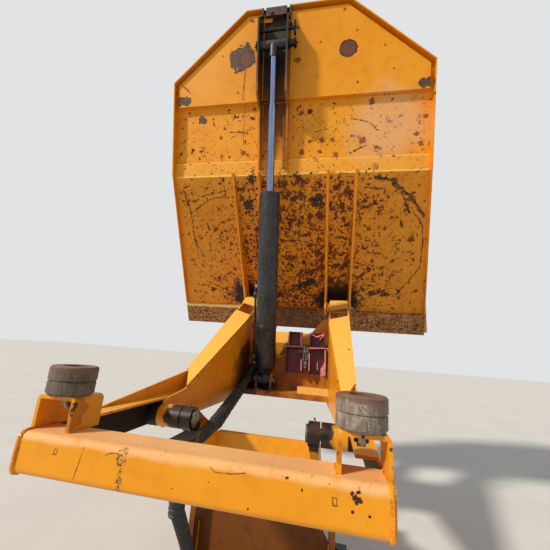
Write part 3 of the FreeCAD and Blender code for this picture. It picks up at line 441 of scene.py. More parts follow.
def enamel(coat, where, look, size, push, seed):
    """Sprayed orange enamel on hot rolled plate: clouds 300 mm wide bleached by the sun, a thin brown film,
    chips of the given size sunk into the paint with rust-stained edges, and grit specks."""
    tree = coat.tree
    chip = {"size": size, "detail": 2.5, "bend": 0.7, "push": push, "seed": seed + 1}
    coat.lay([cloud(tree, where, 0.30, 0.35, 0.75, seed=seed)], look.faded, 0.42)
    coat.lay([cloud(tree, where, 0.07, 0.50, 0.80, 5.0, seed=seed + 3), 0.30], look.halo, 0.50)
    coat.lay([cloud(tree, where, low=0.58, high=0.69, **chip), 0.60], look.halo, 0.55)
    coat.lay([cloud(tree, where, low=0.660, high=0.680, **chip), 0.96], look.rust, 0.80, -1.0)
    coat.lay([cloud(tree, where, size * 0.32, 0.705, 0.73, 2.0, seed=seed + 2, push=push), 0.9], look.rust, 0.8)


def paint_frame(look, size):
    """Orange enamel of the sub-frame, arms and carrier: satin, few chips, a brown oily film on the inner webs that is
    darkened into painted shade, painted shade low down and near black on the rails, painted sunlight on faces that
    point up and on the deck bar, and black grease round the eyes and bosses."""
    material, tree, shader, where = new_material("orange_enamel_frame")
    coat = Coat(tree, look.orange, 0.36)
    enamel(coat, where, look, size, -0.045, 2.0)
    side = add(tree, "VectorMath", {0: where}, operation="ABSOLUTE").outputs[0]
    inner = slice_of(tree, side, 0, 0.330, 0.310)
    low = slice_of(tree, where, 2, 1.40, 1.06, 0.4, 0.2, 6.0)
    above = slice_of(tree, where, 2, 0.84, 0.87)
    # Brown oily film and rust clouds on the inner webs, laid dark enough to be painted shade as well as oil and rust.
    film_and_shade = cloud(tree, where, 0.16, 0.15, 0.60, 4.0, seed=8.0)
    coat.lay([film_and_shade, inner, low, above, 0.85], linear("#8A4410"), 0.45)
    coat.lay([inner, low, above, cloud(tree, where, 0.10, 0.46, 0.75, 5.0, seed=9.0), 0.9], look.rust, 0.40)
    # Painted shade: darker brown towards the bottom, below 0.66 m, with real rust clouds in the same low region.
    base = slice_of(tree, where, 2, 0.66, 0.36, 0.16, 0.12, 10.0)
    coat.lay([base, 0.92], linear("#5E2C06"), 0.60)
    coat.lay([base, cloud(tree, where, 0.05, 0.50, 0.72, 5.0, seed=11.0), 0.5], look.rust, 0.85, 0.2)
    # Faces that point up: dust and sun-bleach in clouds that also serve as painted sunlight, and above about 1 m a
    # plain lighter orange that is painted sunlight.
    upward = add(tree, "SeparateXYZ", {0: add(tree, "NewGeometry").outputs["Normal"]}).outputs[2]
    upward = add(tree, "MapRange", {"Value": upward, "From Min": 0.45, "From Max": 0.80}).outputs["Result"]
    coat.lay([upward, cloud(tree, where, 0.20, 0.20, 0.60, 4.0, seed=7.0), 0.60], linear("#F4B950"), 0.50)
    coat.lay([upward, slice_of(tree, where, 2, 0.98, 1.04), 0.85], linear("#FAC25A"), 0.50)
    # Painted shade, near black: the rails' faces between 0.40 and 0.45 m out from the middle, below the ledge and at y
    # under -0.42 m.
    rail = slice_of(tree, side, 0, 0.453, 0.450)
    outside = slice_of(tree, side, 0, 0.396, 0.400)
    under_ledge = slice_of(tree, where, 2, 0.952, 0.945)
    behind = slice_of(tree, where, 1, -0.30, -0.42, 0.1, 0.1, 12.0)
    coat.lay([rail, outside, under_ledge, behind], linear("#130A07"), 0.60)
    # Dark smears on the left upright's inner web by the ram foot: grease, laid darker as painted shade of that web.
    smear_and_shade = [((-0.308, 0.335, 1.00), 0.20), ((-0.308, 0.42, 1.14), 0.12), ((-0.20, 0.45, 0.93), 0.14)]
    coat.lay([spots(tree, where, smear_and_shade, 0.9, 0.07, 0.20), inner, 0.90], linear("#21140C"), 0.40)
    stain = [((-0.345, -1.140, 1.000), 0.034), ((-0.350, -1.150, 0.965), 0.020), ((0.345, -1.150, 0.990), 0.022)]
    coat.lay([spots(tree, where, stain, 0.7, 0.02, 0.20), 0.65], look.halo, 0.5)
    torn = [((-0.345, -1.152, 1.018), 0.007), ((-0.347, -1.156, 1.004), 0.006), ((-0.346, -1.156, 0.992), 0.004)]
    torn += [((0.345, -1.156, 0.990), 0.004), ((0.459, -1.156, 1.010), 0.004), ((0.463, -1.150, 0.975), 0.005)]
    torn += [((0.400, -1.156, 1.030), 0.004), ((-0.440, -1.156, 0.955), 0.005), *FLANGE_CHIPS]
    coat.lay([spots(tree, where, torn, 0.8, 0.008), 0.9], look.rust, 0.8, -0.8)
    # Painted highlight: the right part of the deck bar's rear face is painted light orange, as if in sun.
    highlight_x = slice_of(tree, where, 0, 0.094, 0.098)
    highlight_above = slice_of(tree, where, 2, 0.918, 0.924)
    highlight_front = slice_of(tree, where, 1, 0.518, 0.512)
    coat.lay([highlight_x, highlight_above, highlight_front, slice_of(tree, where, 2, 0.975, 0.970), inner, 0.85], linear("#F8BC62"), 0.6)
    eyes = [((0.269 * s, *joint[1:]), 0.095) for s in (-1, 1) for joint in (ARM_EYE, ARM_PIVOT)]
    coat.lay([spots(tree, where, eyes, 0.30, 0.04), 0.97], linear("#2A1A12"), 0.45, 0.4)
    coat.lay([spots(tree, where, eyes, 0.30, 0.04), cloud(tree, where, 0.03, 0.48, 0.60, 4.0, seed=12.0)], look.grease, 0.4)
    coat.join(shader, 0.0006)
    shader.inputs["Specular IOR Level"].default_value = 0.35
    return material


def paint_beam(look, size):
    """Orange enamel of the rest beam: bleached and dusty along its top, with scuffs, scored lines and
    star-shaped chips on its rear face."""
    material, tree, shader, where = new_material("orange_enamel_beam")
    coat = Coat(tree, look.orange, 0.36)
    enamel(coat, where, look, size, -0.075, 11.0)
    dust = slice_of(tree, where, 2, 0.926, 0.942, 0.026, 0.05, 5.0)
    coat.lay([dust, 0.72], look.dust, 0.75, 0.2)
    drift = cloud(tree, where, 0.10, 0.35, 0.60, 5.0, (1.5, 1.0, 1.0), 15.0)
    coat.lay([dust, drift, 0.5], linear("#DD9F5E"), 0.8)
    coat.lay([dust, cloud(tree, where, 0.012, 0.60, 0.68, 4.0, seed=16.0), 0.55], linear("#9A5A28"), 0.8, -0.2)
    coat.lay([dust, cloud(tree, where, 0.045, 0.58, 0.70, 4.0, seed=19.0), 0.6], look.orange, 0.5)
    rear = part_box("rest_beam")[0][1]
    marks = (
        ((382, 922), 6),
        ((376, 927), 4),
        ((389, 931), 4),
        ((392, 917), 5),
        ((385, 912), 4),
        ((378, 895), 3),
        ((411, 892), 3),
        ((240, 937), 4),
        ((273, 919), 3),
        ((231, 940), 3),
        ((330, 938), 2),
        ((-20, 880), 1.6),
        ((66, 905), 1.6),
        ((160, 868), 2),
    )
    chips = [((x / 1000, rear, z / 1000), radius / 1000) for (x, z), radius in marks]
    coat.lay([spots(tree, where, chips, 0.7, 0.006)], look.rust, 0.8, -1.0)
    lines = (
        ((-260, 944), (-268, 905), (-277, 856)),
        ((-344, 922), (-336, 921), (-338, 908), (-346, 909), (-344, 922)),
        ((337, 914), (346, 913), (347, 900), (338, 901), (337, 914)),
        ((39, 952), (57, 938), (78, 926), (113, 928), (147, 933)),
        ((-201, 925), (-188, 931), (-168, 932)),
    )
    lines = [[(x / 1000, rear, z / 1000) for x, z in line] for line in lines]
    coat.lay([gouges(tree, where, lines, 0.0013, 0.006), 0.75], look.rust, 0.8, -0.6)
    scuff = gouges(tree, where, [[(-0.158, rear, 0.955), (-0.157, rear, 0.905), (-0.152, rear, 0.852)]], 0.0095, 0.010)
    coat.lay([scuff, cloud(tree, where, 0.010, 0.46, 0.60, 4.0, (0.7, 1, 1.8), 17.0), 0.6], linear("#A9824F"), 0.8, -0.3)
    coat.lay([scuff, cloud(tree, where, 0.0065, 0.50, 0.58, 4.0, (1.0, 1, 0.8), 18.0), 0.9], look.rust, 0.8, -0.8)
    coat.join(shader, 0.0006)
    shader.inputs["Specular IOR Level"].default_value = 0.35
    return material


def paint_skip(look, size):
    """Orange enamel of the skip: smooth and clean under the rear panel, chipped to rust by thrown stones
    under the sloping floor, scoured to bare steel inside, with painted highlights on the cross strip and
    grease and painted shade between the ram cheeks."""
    material, tree, shader, where = new_material("orange_enamel_skip")
    coat = Coat(tree, look.orange, 0.38)
    level = level_coordinates(tree, where)
    y = add(tree, "SeparateXYZ", {0: level}).outputs[1]

    def at(x, d):
        """Point of the underside in metres from millimetres across and behind the hinge."""
        x, d = x / 1000, d / 1000
        return under(x, d, (-PANEL_Z if d > 1.616 else -FLOOR_Z) if d > 1.08 else None)

    chips = add(tree, "MapRange", {"Value": y, "From Min": -1.66, "From Max": -1.58, "To Min": -0.105, "To Max": 0.010})
    front = slice_of(tree, level, 1, -1.12, -1.00)
    side = add(tree, "VectorMath", {0: level}, operation="ABSOLUTE").outputs[0]
    centre = slice_of(tree, side, 0, 0.80, 0.25, 0.3, 0.2, 19.0)
    inputs = {0: front, 1: 0.018, 2: chips.outputs["Result"]}
    push = add(tree, "Math", inputs, operation="MULTIPLY_ADD").outputs[0]
    thick = add(tree, "Math", {0: front, 1: centre}, operation="MULTIPLY").outputs[0]
    push = add(tree, "Math", {0: thick, 1: 0.075, 2: push}, operation="MULTIPLY_ADD").outputs[0]
    wall = slice_of(tree, side, 0, 0.968, 0.976)
    push = add(tree, "Math", {0: wall, 1: -0.060, 2: push}, operation="MULTIPLY_ADD").outputs[0]
    gather = cloud(tree, level, 0.22, 0.2, 0.8, 2.0, seed=20.0)
    push = add(tree, "Math", {0: gather, 1: 0.080, 2: push}, operation="MULTIPLY_ADD").outputs[0]
    push = add(tree, "Math", {0: push, 1: -0.040}, operation="ADD").outputs[0]
    enamel(coat, level, look, size, push, 30.0)

    brown = cloud(tree, level, 0.16, 0.30, 0.75, 5.0, seed=40.0)
    coat.lay([front, brown, 0.26], look.halo, 0.5)
    lower = slice_of(tree, level, 2, FLOOR_Z - 0.003, FLOOR_Z - 0.009)
    narrow = slice_of(tree, side, 0, 0.972, 0.968)
    lower = add(tree, "Math", {0: lower, 1: narrow}, operation="MULTIPLY").outputs[0]
    # Painted highlights: the cross strip's underside is painted lighter orange, and bright patchy lines run along both
    # of its edges.
    strip = slice_of(tree, level, 1, -1.168, -1.160)
    coat.lay([strip, slice_of(tree, level, 1, -1.050, -1.056), lower, 0.45], linear("#F6B043"), 0.45)
    patchy_highlight = cloud(tree, level, 0.06, 0.25, 0.45, 4.0, seed=43.0)
    for start, end in ((-1.176, -1.158), (-1.066, -1.047)):
        line = slice_of(tree, level, 1, start, start + 0.006)
        coat.lay([line, slice_of(tree, level, 1, end, end - 0.006), lower, patchy_highlight, 0.8], linear("#FFCE6A"), 0.5)
    for turn, seed in ((38, 47.0), (-28, 49.0)):
        turned_place = add(tree, "Mapping", {"Vector": level, "Rotation": (0, 0, math.radians(turn))}).outputs[0]
        dashes = cloud(tree, turned_place, size * 0.36, 0.716, 0.730, 1.5, (1.0, 2.8, 2.0), seed, 0.5, push)
        coat.lay([dashes, 0.9], linear("#6A2E0E"), 0.8)

    round_chips = cloud(tree, level, size * 0.50, 0.684, 0.700, 1.5, seed=53.0, push=push)
    coat.lay([cloud(tree, level, size * 0.50, 0.645, 0.684, 1.5, seed=53.0, push=push), 0.7], linear("#A5480F"), 0.5)
    coat.lay([round_chips, 0.9], linear("#5C2410"), 0.8)

    haze = spots(tree, level, [(at(700, 1400), 0.26)], 0.5, 0.25, 0.35)
    coat.lay([haze, 0.30], linear("#D9C6B0"), 0.7)

    marks = (
        ((-692, 662), 26), ((-608, 650), 18), ((921, 597), 34), ((836, 584), 16), ((589, 670), 22), ((643, 417), 20),
        ((673, 824), 18), ((798, 420), 20), ((-558, 737), 18), ((-690, 389), 20), ((-982, 397), 16), ((-1021, 93), 18),
        ((-572, 321), 22), ((-48, 429), 30), ((5, 740), 26), ((133, 763), 26), ((131, 541), 24), ((184, 340), 26),
        ((328, 462), 22), ((337, 371), 26), ((344, 1025), 18), ((416, 958), 18), ((533, 275), 22), ((-70, 1000), 26),
        ((75, 991), 28), ((-37, 925), 24), ((312, 892), 14), ((316, 828), 15), ((330, 773), 14), ((-594, 1007), 16),
        ((-722, 971), 16), ((-456, 960), 26), ((629, 1016), 26), ((746, 995), 24), ((877, 873), 34), ((1025, 177), 18),
    )
    chips_front = spots(tree, level, [(at(*centre), radius / 1200) for centre, radius in marks], 0.9, 0.018)
    coat.lay([chips_front, 0.85], linear("#6A2E0E"), 0.8)
    marks = (
        ((-563, 1441), 13), ((-594, 1366), 18), ((-869, 1583), 14), ((-937, 1254), 20), ((-838, 1256), 14),
        ((-774, 1208), 14), ((-404, 1236), 26), ((-516, 1210), 14), ((-324, 1576), 18), ((210, 1310), 26),
        ((287, 1306), 22), ((195, 1221), 22), ((319, 1197), 20), ((451, 1215), 14), ((512, 1288), 30), ((608, 1236), 20),
        ((565, 1570), 26), ((708, 1576), 14), ((936, 1440), 20), ((877, 1319), 22), ((911, 1250), 26), ((63, 1221), 26),
        ((121, 1303), 18), ((54, 1524), 20), ((40, 1574), 14), ((457, 1702), 13), ((642, 1951), 12), ((446, 2077), 12),
        ((-446, 1696), 10), ((184, 2021), 10), ((2, 2155), 24), ((10, 1903), 26), ((351, 2239), 16), ((-347, 2247), 24),
        ((706, 1775), 8), ((-580, 1995), 8),
    )
    chips_rear = spots(tree, level, [(at(*centre), radius / 1250) for centre, radius in marks], 0.95, 0.020)
    coat.lay([chips_rear, 0.85], linear("#7A360C"), 0.8)

    lines = (
        ((613, 1018), (668, 1009), (729, 1000), (771, 970), (833, 914), (888, 873), (934, 821), (984, 757)),
        ((737, 976), (797, 935), (842, 853), (874, 785)),
    )
    wide = gouges(tree, level, [[at(*p) for p in line] for line in lines], 0.009, 0.03)
    coat.lay([wide, cloud(tree, level, 0.03, 0.30, 0.42, 4.0, seed=56.0), 0.85], look.scale, 0.7)
    coat.lay([wide, cloud(tree, level, 0.02, 0.46, 0.52, 4.0, seed=57.0)], look.rust, 0.8)
    lines = (
        ((908, 779), (975, 714), (1006, 603), (1023, 387), (965, 283), (884, 150), (770, 127)),
        ((536, 955), (676, 944)),
        ((796, 237), (805, 317), (840, 350)),
        ((-904, 787), (-806, 840), (-711, 892), (-570, 912)),
        ((-869, 876), (-731, 926), (-550, 953)),
        ((-924, 969), (-903, 853), (-897, 769), (-912, 617), (-910, 441)),
        ((-915, 617), (-882, 497), (-854, 449)),
        ((-881, 208), (-793, 165), (-689, 122), (-584, 80)),
        ((421, 1457), (490, 1441), (558, 1413), (616, 1358)),
        ((-522, 1413), (-370, 1391)),
        ((155, 1373), (249, 1391)),
        ((-927, 1794), (-891, 1765), (-849, 1723)),
        ((451, 1215), (530, 1250)),
    )
    thin = gouges(tree, level, [[at(*p) for p in line] for line in lines], 0.0050, 0.03)
    coat.lay([thin, 0.85], look.rust, 0.8)

    worn = [(at(-425, 1968), 0.098), (at(-480, 1985), 0.050), (at(-752, 1515), 0.036)]
    worn += [(at(-925, 1668), 0.042), (at(-880, 1662), 0.038), (at(905, 1655), 0.034), (at(948, 1662), 0.034)]
    worn = spots(tree, level, worn, 0.7, 0.045, 0.04)
    coat.lay([worn], look.rust, 0.6)
    coat.lay([spots(tree, level, [(at(-425, 1968), 0.080), (at(-480, 1985), 0.038)], 0.6, 0.03, 0.10)], look.scale, 0.6)
    coat.lay([worn, cloud(tree, level, 0.025, 0.35, 0.55, 4.0, seed=54.0)], look.scale, 0.6)
    speck = cloud(tree, level, 0.012, 0.44, 0.54, 4.0, seed=55.0)
    coat.lay([worn, speck, 0.6], look.rust, 0.8)
    contacts = [at(-382, 1950), at(386, 1954)]
    rim = spots(tree, level, [(p, 0.066) for p in contacts], 0.10, 0.02, 0.03)
    coat.lay([rim], look.rust, 0.6)
    disc = spots(tree, level, [(p, 0.055) for p in contacts], 0.12, 0.02, 0.10)
    coat.lay([disc, 0.90], linear("#6B3F26"), 0.5)
    coat.lay([disc, cloud(tree, level, 0.014, 0.50, 0.66, 5.0, seed=61.0), 0.7], linear("#4A2C1C"), 0.5)

    runs = [
        ((-381, 1895), (-397, 1760), (-400, 1640)),
        ((-397, 1610), (-404, 1450), (-402, 1302)),
        ((-395, 1880), (-409, 1700), (-412, 1640)),
    ]
    runs = gouges(tree, level, [[at(*p) for p in line] for line in runs], 0.0040, 0.008)
    coat.lay([runs, 0.85], linear("#93470F"), 0.5)

    oil = [((0.393, -0.075, 0.060), 0.150), ((0.300, -0.060, 0.070), 0.120), ((-0.470, -0.075, 0.060), 0.125)]
    coat.lay([spots(tree, level, [(p, r * 1.35) for p, r in oil], 1.0, 0.035, 0.25), 0.75], linear("#3A1C0C"), 0.5)
    oil = spots(tree, level, oil, 0.9, 0.05, 0.12)
    coat.lay([oil, 0.97], look.grease, 0.5)
    splash = [(at(189, 889), 0.040), (at(207, 840), 0.034), (at(177, 850), 0.030), (at(-378, 847), 0.044)]
    splash += [(at(-330, 1032), 0.036), (at(92, 204), 0.040), (at(128, 227), 0.042), (at(35, 188), 0.030)]
    splash += [(at(663, 145), 0.030), (at(769, 141), 0.032), (at(720, 155), 0.022)]
    coat.lay([spots(tree, level, splash, 1.1, 0.020, 0.10), 0.9], look.grease, 0.6)

    # Between the ram cheeks, under the floor: dark brown coming in from 1.10 m behind the hinge and black from 1.50 m
    # on, partly grease and partly painted shade of the cheeks.
    channel = slice_of(tree, level, 0, RAM_X - 0.114, RAM_X - 0.110)
    beside = slice_of(tree, level, 0, RAM_X + 0.114, RAM_X + 0.110)
    below = slice_of(tree, level, 2, FLOOR_Z + 0.002, FLOOR_Z)
    coat.lay([channel, beside, below, slice_of(tree, level, 1, -1.10, -1.50, 0.3, 0.08, 81.0), 0.80], linear("#5A2C12"), 0.5)
    grease_and_shade = slice_of(tree, level, 1, -1.50, -1.85, 0.4, 0.10, 80.0)
    coat.lay([channel, beside, below, grease_and_shade, 0.93], look.grease, 0.60)

    bare = inside_skip(tree, level)
    coat.lay([bare], linear("#8D857C"), 0.55)
    coat.lay([bare, cloud(tree, level, 0.20, 0.35, 0.62, 5.0, seed=95.0)], linear("#6A5343"), 0.7)
    scour = cloud(tree, level, 0.010, 0.50, 0.70, 3.0, (1.0, 24.0, 1.0), 90.0)
    coat.lay([bare, scour], linear("#A7A29B"), 0.4)
    high = slice_of(tree, level, 2, 0.02, 0.22)
    coat.lay([bare, high, cloud(tree, level, 0.20, 0.44, 0.50, 5.0, seed=96.0)], look.orange, 0.4)
    coat.join(shader, 0.0008)
    shader.inputs["Specular IOR Level"].default_value = 0.35
    return material


def paint_lip(look):
    """Lip bar of wear steel: its paint is scoured off by tipped stone, so it is speckled with rust and dry
    mud and cracked along the load's path; a bright band along its left edge is a painted highlight."""
    material, tree, shader, where = new_material("scoured_lip")
    coat = Coat(tree, linear("#C98F50"), 0.75)
    level = level_coordinates(tree, where)
    coat.lay([cloud(tree, level, 0.10, 0.40, 0.62, 5.0, seed=100.0), 0.9], linear("#9A6434"), 0.8, 0.3)
    coat.lay([cloud(tree, level, 0.020, 0.52, 0.58, 6.0, seed=101.0), 0.8], linear("#6A4426"), 0.85, -0.6)
    coat.lay([cloud(tree, level, 0.012, 0.60, 0.66, 4.0, seed=102.0), 0.7], linear("#DDB27C"), 0.8, 0.4)
    for size, seed in ((0.075, 103.0), (0.045, 104.0)):
        over = cloud(tree, level, size, 0.480, 0.492, 3.0, seed=seed, bend=0.6)
        coat.lay([over, cloud(tree, level, size, 0.516, 0.504, 3.0, seed=seed, bend=0.6)], linear("#2C170C"), 0.85, -1.0)
    side = add(tree, "VectorMath", {0: level}, operation="ABSOLUTE").outputs[0]
    coat.lay([slice_of(tree, side, 0, 0.46, 0.10, 0.4, 0.1, 105.0), 0.6], linear("#4A2E1C"), 0.8)
    # Painted highlight: a bright pale yellow band along the lip's edge on the left side.
    edge = slice_of(tree, level, 1, 0.066, 0.058, 0.02, 0.06, 107.0)
    coat.lay([edge, slice_of(tree, level, 0, -0.20, -0.34, 0.1, 0.05, 106.0), 0.9], linear("#FFE08C"), 0.5)
    coat.join(shader, 0.0015)
    return material


def paint_cheek(look, size):
    """Ram cheeks: orange enamel under black grease that thins out towards the hinge."""
    material, tree, shader, where = new_material("greasy_enamel_cheek")
    coat = Coat(tree, look.orange, 0.38)
    level = level_coordinates(tree, where)
    enamel(coat, level, look, size, 0.015, 120.0)
    thick = slice_of(tree, level, 1, -1.62, -1.90, 0.6, 0.10, 121.0)
    coat.lay([0.35], look.halo, 0.45)
    coat.lay([slice_of(tree, level, 1, -1.22, -1.70, 0.6, 0.08, 123.0), 0.80], linear("#5A2E14"), 0.45)
    coat.lay([thick, 0.97], look.grease, 0.40, 0.5)
    coat.lay([thick, cloud(tree, level, 0.012, 0.60, 0.70, 3.0, seed=122.0), 0.35], linear("#5C5650"), 0.6, 0.2)
    coat.join(shader, 0.0008)
    return material


def paint_black(look, name="black_enamel_ram", seed=140.0):
    """Black enamel of the ram: dulled by dust in mottled patches, with pinhead chips and scored rings."""
    material, tree, shader, where = new_material(name)
    coat = Coat(tree, look.black, 0.42)
    coat.lay([cloud(tree, where, 0.16, 0.56, 0.34, 2.0, seed=seed + 1)], linear("#141417"), 0.42)
    coat.lay([cloud(tree, where, 0.032, 0.48, 0.72, 6.0, (1, 1, 1.8), seed), 0.45], linear("#505055"), 0.60, 0.3)
    coat.lay([cloud(tree, where, 0.012, 0.60, 0.72, 4.0, seed=seed + 3), 0.30], linear("#86837E"), 0.70, 0.2)
    coat.lay([cloud(tree, where, 0.008, 0.70, 0.73, 2.0, seed=seed + 2), 0.8], linear("#A39C92"), 0.6, -0.5)
    coat.join(shader, 0.0005)
    return material


def hard_chrome(look):
    """Ground and polished hard chrome: a mirror with a faint film of oil drawn along the rod; its blue tint is a
    painted reflection of sky.
    """
    material, tree, shader, where = new_material("hard_chrome", 0.1, 1.0)
    coat = Coat(tree, look.chrome, 0.12)
    coat.lay([cloud(tree, where, 0.006, 0.45, 0.75, 3.0, (1.0, 30.0, 30.0), 160.0)], linear("#5A6682"), 0.22)
    coat.lay([cloud(tree, where, 0.05, 0.60, 0.70, 4.0, (1.0, 1.0, 3.0), 161.0), 0.4], linear("#8B8D90"), 0.30)
    coat.join(shader)
    return material


def red_coat(look):
    """Dark red enamel of the props: glossy where new, chalky pink on worn edges, streaked with oil."""
    material, tree, shader, where = new_material("dark_red_enamel")
    coat = Coat(tree, look.red, 0.40)
    coat.lay([cloud(tree, where, 0.035, 0.52, 0.36, 5.0, seed=170.0)], linear("#4C0A16"), 0.4)
    coat.lay([cloud(tree, where, 0.012, 0.62, 0.72, 3.0, seed=171.0), 0.5], look.chalk_and_highlight, 0.7, 0.2)
    coat.lay([cloud(tree, where, 0.010, 0.60, 0.72, 2.0, (1, 1, 9.0), 172.0), 0.6], look.grease, 0.35, 0.2)
    coat.join(shader, 0.0005)
    return material


def red_highlight_coat(look):
    """Red enamel of the props' flanges painted matt pink as their highlight, with the dark red showing through."""
    material, tree, shader, where = new_material("bleached_red_enamel")
    coat = Coat(tree, look.chalk_and_highlight, 0.75)
    coat.lay([cloud(tree, where, 0.020, 0.45, 0.70, 5.0, seed=175.0), 0.7], linear("#A8454F"), 0.7, 0.2)
    coat.lay([cloud(tree, where, 0.008, 0.66, 0.70, 3.0, seed=176.0)], look.red, 0.6, -0.4)
    coat.join(shader, 0.0004)
    return material


def cast_buffer(look):
    """Cast iron buffer: sand-cast side weathered pale with upright rust streaks, brown polished top ring."""
    material, tree, shader, where = new_material("cast_iron_buffer")
    coat = Coat(tree, look.iron, 0.85)
    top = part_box("buffer_left")[1][2]
    coat.lay([cloud(tree, where, 0.008, 0.42, 0.66, 4.0, (1.0, 1.0, 6.0), 180.0), 0.75], linear("#5A4538"), 0.85, -0.4)
    coat.lay([cloud(tree, where, 0.035, 0.52, 0.72, 5.0, seed=181.0), 0.9], linear("#B5AB9C"), 0.9, 0.3)
    coat.lay([cloud(tree, where, 0.006, 0.58, 0.66, 3.0, seed=184.0), 0.55], linear("#C9C0B2"), 0.9, 0.3)
    coat.lay([cloud(tree, where, 0.050, 0.58, 0.68, 4.0, seed=185.0), 0.7], linear("#7A4030"), 0.85)
    # The buffer left of the middle is darker all over, with grey streaks.
    left = slice_of(tree, where, 0, 0.1, -0.1)
    coat.lay([left, 0.60], linear("#3E2E26"), 0.8)
    coat.lay([left, cloud(tree, where, 0.010, 0.48, 0.60, 4.0, (1.0, 1.0, 5.0), 187.0), 0.5], linear("#7E7468"), 0.85)
    coat.lay([slice_of(tree, where, 2, top - 0.020, top - 0.006, 0.016, 0.02, 186.0), 0.85], linear("#6E4938"), 0.6)
    coat.lay([slice_of(tree, where, 2, top - 0.003, top - 0.001),
          cloud(tree, where, 0.03, 0.40, 0.62, 4.0, seed=182.0)], linear("#86604E"), 0.5)
    coat.join(shader, 0.0010)
    return material


def turned_steel(look, name="greased_steel", grease=0.5, seed=190.0):
    """Turned steel of pins and fittings: grey metal under a patchy film of grease."""
    material, tree, shader, where = new_material(name, 0.4, 1.0)
    coat = Coat(tree, look.steel, 0.28)
    slick = cloud(tree, where, 0.018, 0.72 - 0.3 * grease, 0.80 - 0.3 * grease, 4.0, seed=seed)
    coat.lay([cloud(tree, where, 0.018, 0.35, 0.65, 4.0, seed=seed + 1)], linear("#5A5046"), 0.5, 0.2)
    coat.lay([slick, 0.85], look.grease, 0.3, 0.3)
    coat.join(shader, 0.0003)
    return material


def latch_rust(look):
    """Latch at the skip's rear rim: bare plate gone to dark even rust with black grease near the cheeks."""
    material, tree, shader, where = new_material("rusted_latch_plate")
    coat = Coat(tree, linear("#3B2A22"), 0.75)
    coat.lay([cloud(tree, where, 0.03, 0.42, 0.60, 5.0, seed=195.0)], linear("#6B4A3C"), 0.8, 0.3)
    coat.lay([cloud(tree, where, 0.05, 0.50, 0.62, 4.0, seed=196.0)], look.grease, 0.5, 0.2)
    coat.join(shader, 0.0008)
    return material


def primer_base(look):
    """Dull grey primer on the bolted base: dusty, with rust along its scratches."""
    material, tree, shader, where = new_material("grey_primer")
    coat = Coat(tree, linear("#333336"), 0.65)
    coat.lay([cloud(tree, where, 0.12, 0.40, 0.65, 5.0, seed=200.0)], linear("#57534E"), 0.8, 0.2)
    coat.lay([cloud(tree, where, 0.016, 0.68, 0.71, 3.0, seed=201.0), 0.9], look.rust, 0.85, -0.6)
    coat.lay([cloud(tree, where, 0.25, 0.50, 0.70, 5.0, seed=202.0), 0.6], linear("#8A7B69"), 0.95, 0.2)
    coat.join(shader, 0.0005)
    return material


def hose_cover(look):
    """Rubber hose in a woven sleeve: dull black with grey dust. Its 2 mm cross weave is drawn at 5 mm, coarser
    than the real one, so that it shows."""
    material, tree, shader, where = new_material("woven_rubber_hose")
    coat = Coat(tree, look.rubber, 0.85)
    weave = []
    for turn in (0, 90):
        place = add(tree, "Mapping", {"Vector": where, "Rotation": (0, 0, math.radians(turn))}).outputs[0]
        wave = add(tree, "TexWave", {"Vector": place, "Scale": 200 / math.tau}, bands_direction="DIAGONAL")
        weave.append(wave.outputs["Fac"])
    coat.lay([cloud(tree, where, 0.06, 0.45, 0.75, 4.0, seed=210.0)], linear("#3A3836"), 0.9)
    coat.lay([*weave, 0.45], linear("#4A4846"), 0.8, 1.0)
    coat.lay([cloud(tree, where, 0.014, 0.62, 0.70, 4.0, seed=211.0), 0.6], linear("#8C8780"), 0.9)
    coat.join(shader, 0.0008)
    return material


def weld_metal(look):
    """Painted weld bead: orange enamel over the ripples, rust showing at its toes."""
    material, tree, shader, where = new_material("painted_weld")
    coat = Coat(tree, look.orange, 0.38)
    coat.lay([cloud(tree, where, 0.02, 0.40, 0.62, 4.0, seed=220.0), 0.5], look.halo, 0.5)
    coat.lay([cloud(tree, where, 0.03, 0.58, 0.66, 4.0, seed=221.0)], look.rust, 0.8, -0.4)
    coat.join(shader, 0.0005)
    return material


def dress(material, names):
    """Give CAD nodes a material."""
    for name in names:
        mesh = frame["nodes"][name].data
        mesh.materials.clear()
        mesh.materials.append(material)


class SKIPUNIT_OT_finishes(bpy.types.Operator):
    """Paint, steel, chrome, rubber and cast iron on the frame's pieces"""

    bl_idname = "skipunit.finishes"
    bl_label = "Frame finishes"

    def execute(self, context):
        look = context.scene.skipunit_colours
        size = context.scene.skipunit_sizes.chip
        kinds = {
            "orange_paint": paint_frame(look, size),
            "base_grey": primer_base(look),
            "pin_steel": turned_steel(look),
            "buffer_iron": cast_buffer(look),
            "black_paint": paint_black(look),
            "rod_chrome": hard_chrome(look),
            "red_paint": red_coat(look),
            "hose_rubber": hose_cover(look),
        }
        for slot, material in kinds.items():
            dress(material, [name for name, used in SLOTS.items() if used == slot])
        skip = [name for name in frame["record"]["behaviour"]["bodies"]["skip"] if SLOTS[name] == "orange_paint"]
        dress(paint_skip(look, size), skip)
        dress(bpy.data.materials["orange_enamel_frame"], ["hinge_ears_left", "hinge_ears_right"])
        dress(paint_lip(look), ["skip_lip"])
        dress(paint_beam(look, size), ["rest_beam", "rest_beam_caps"])
        dress(paint_cheek(look, size), ["ram_cheek_left", "ram_cheek_right"])
        dress(latch_rust(look), ["rear_latch"])
        dress(turned_steel(look, "pins_black_with_grease", 1.5, 235.0), ["ram_pin_ends", "ram_lock_bar"])
        dress(paint_black(look, "greasy_black_enamel", 145.0), ["ram_rod_head", "hose_clip"])
        weld_metal(look)
        red_highlight_coat(look)
        turned_steel(look, "bright_zinc_fittings", 0.0, 230.0)
        return {"FINISHED"}


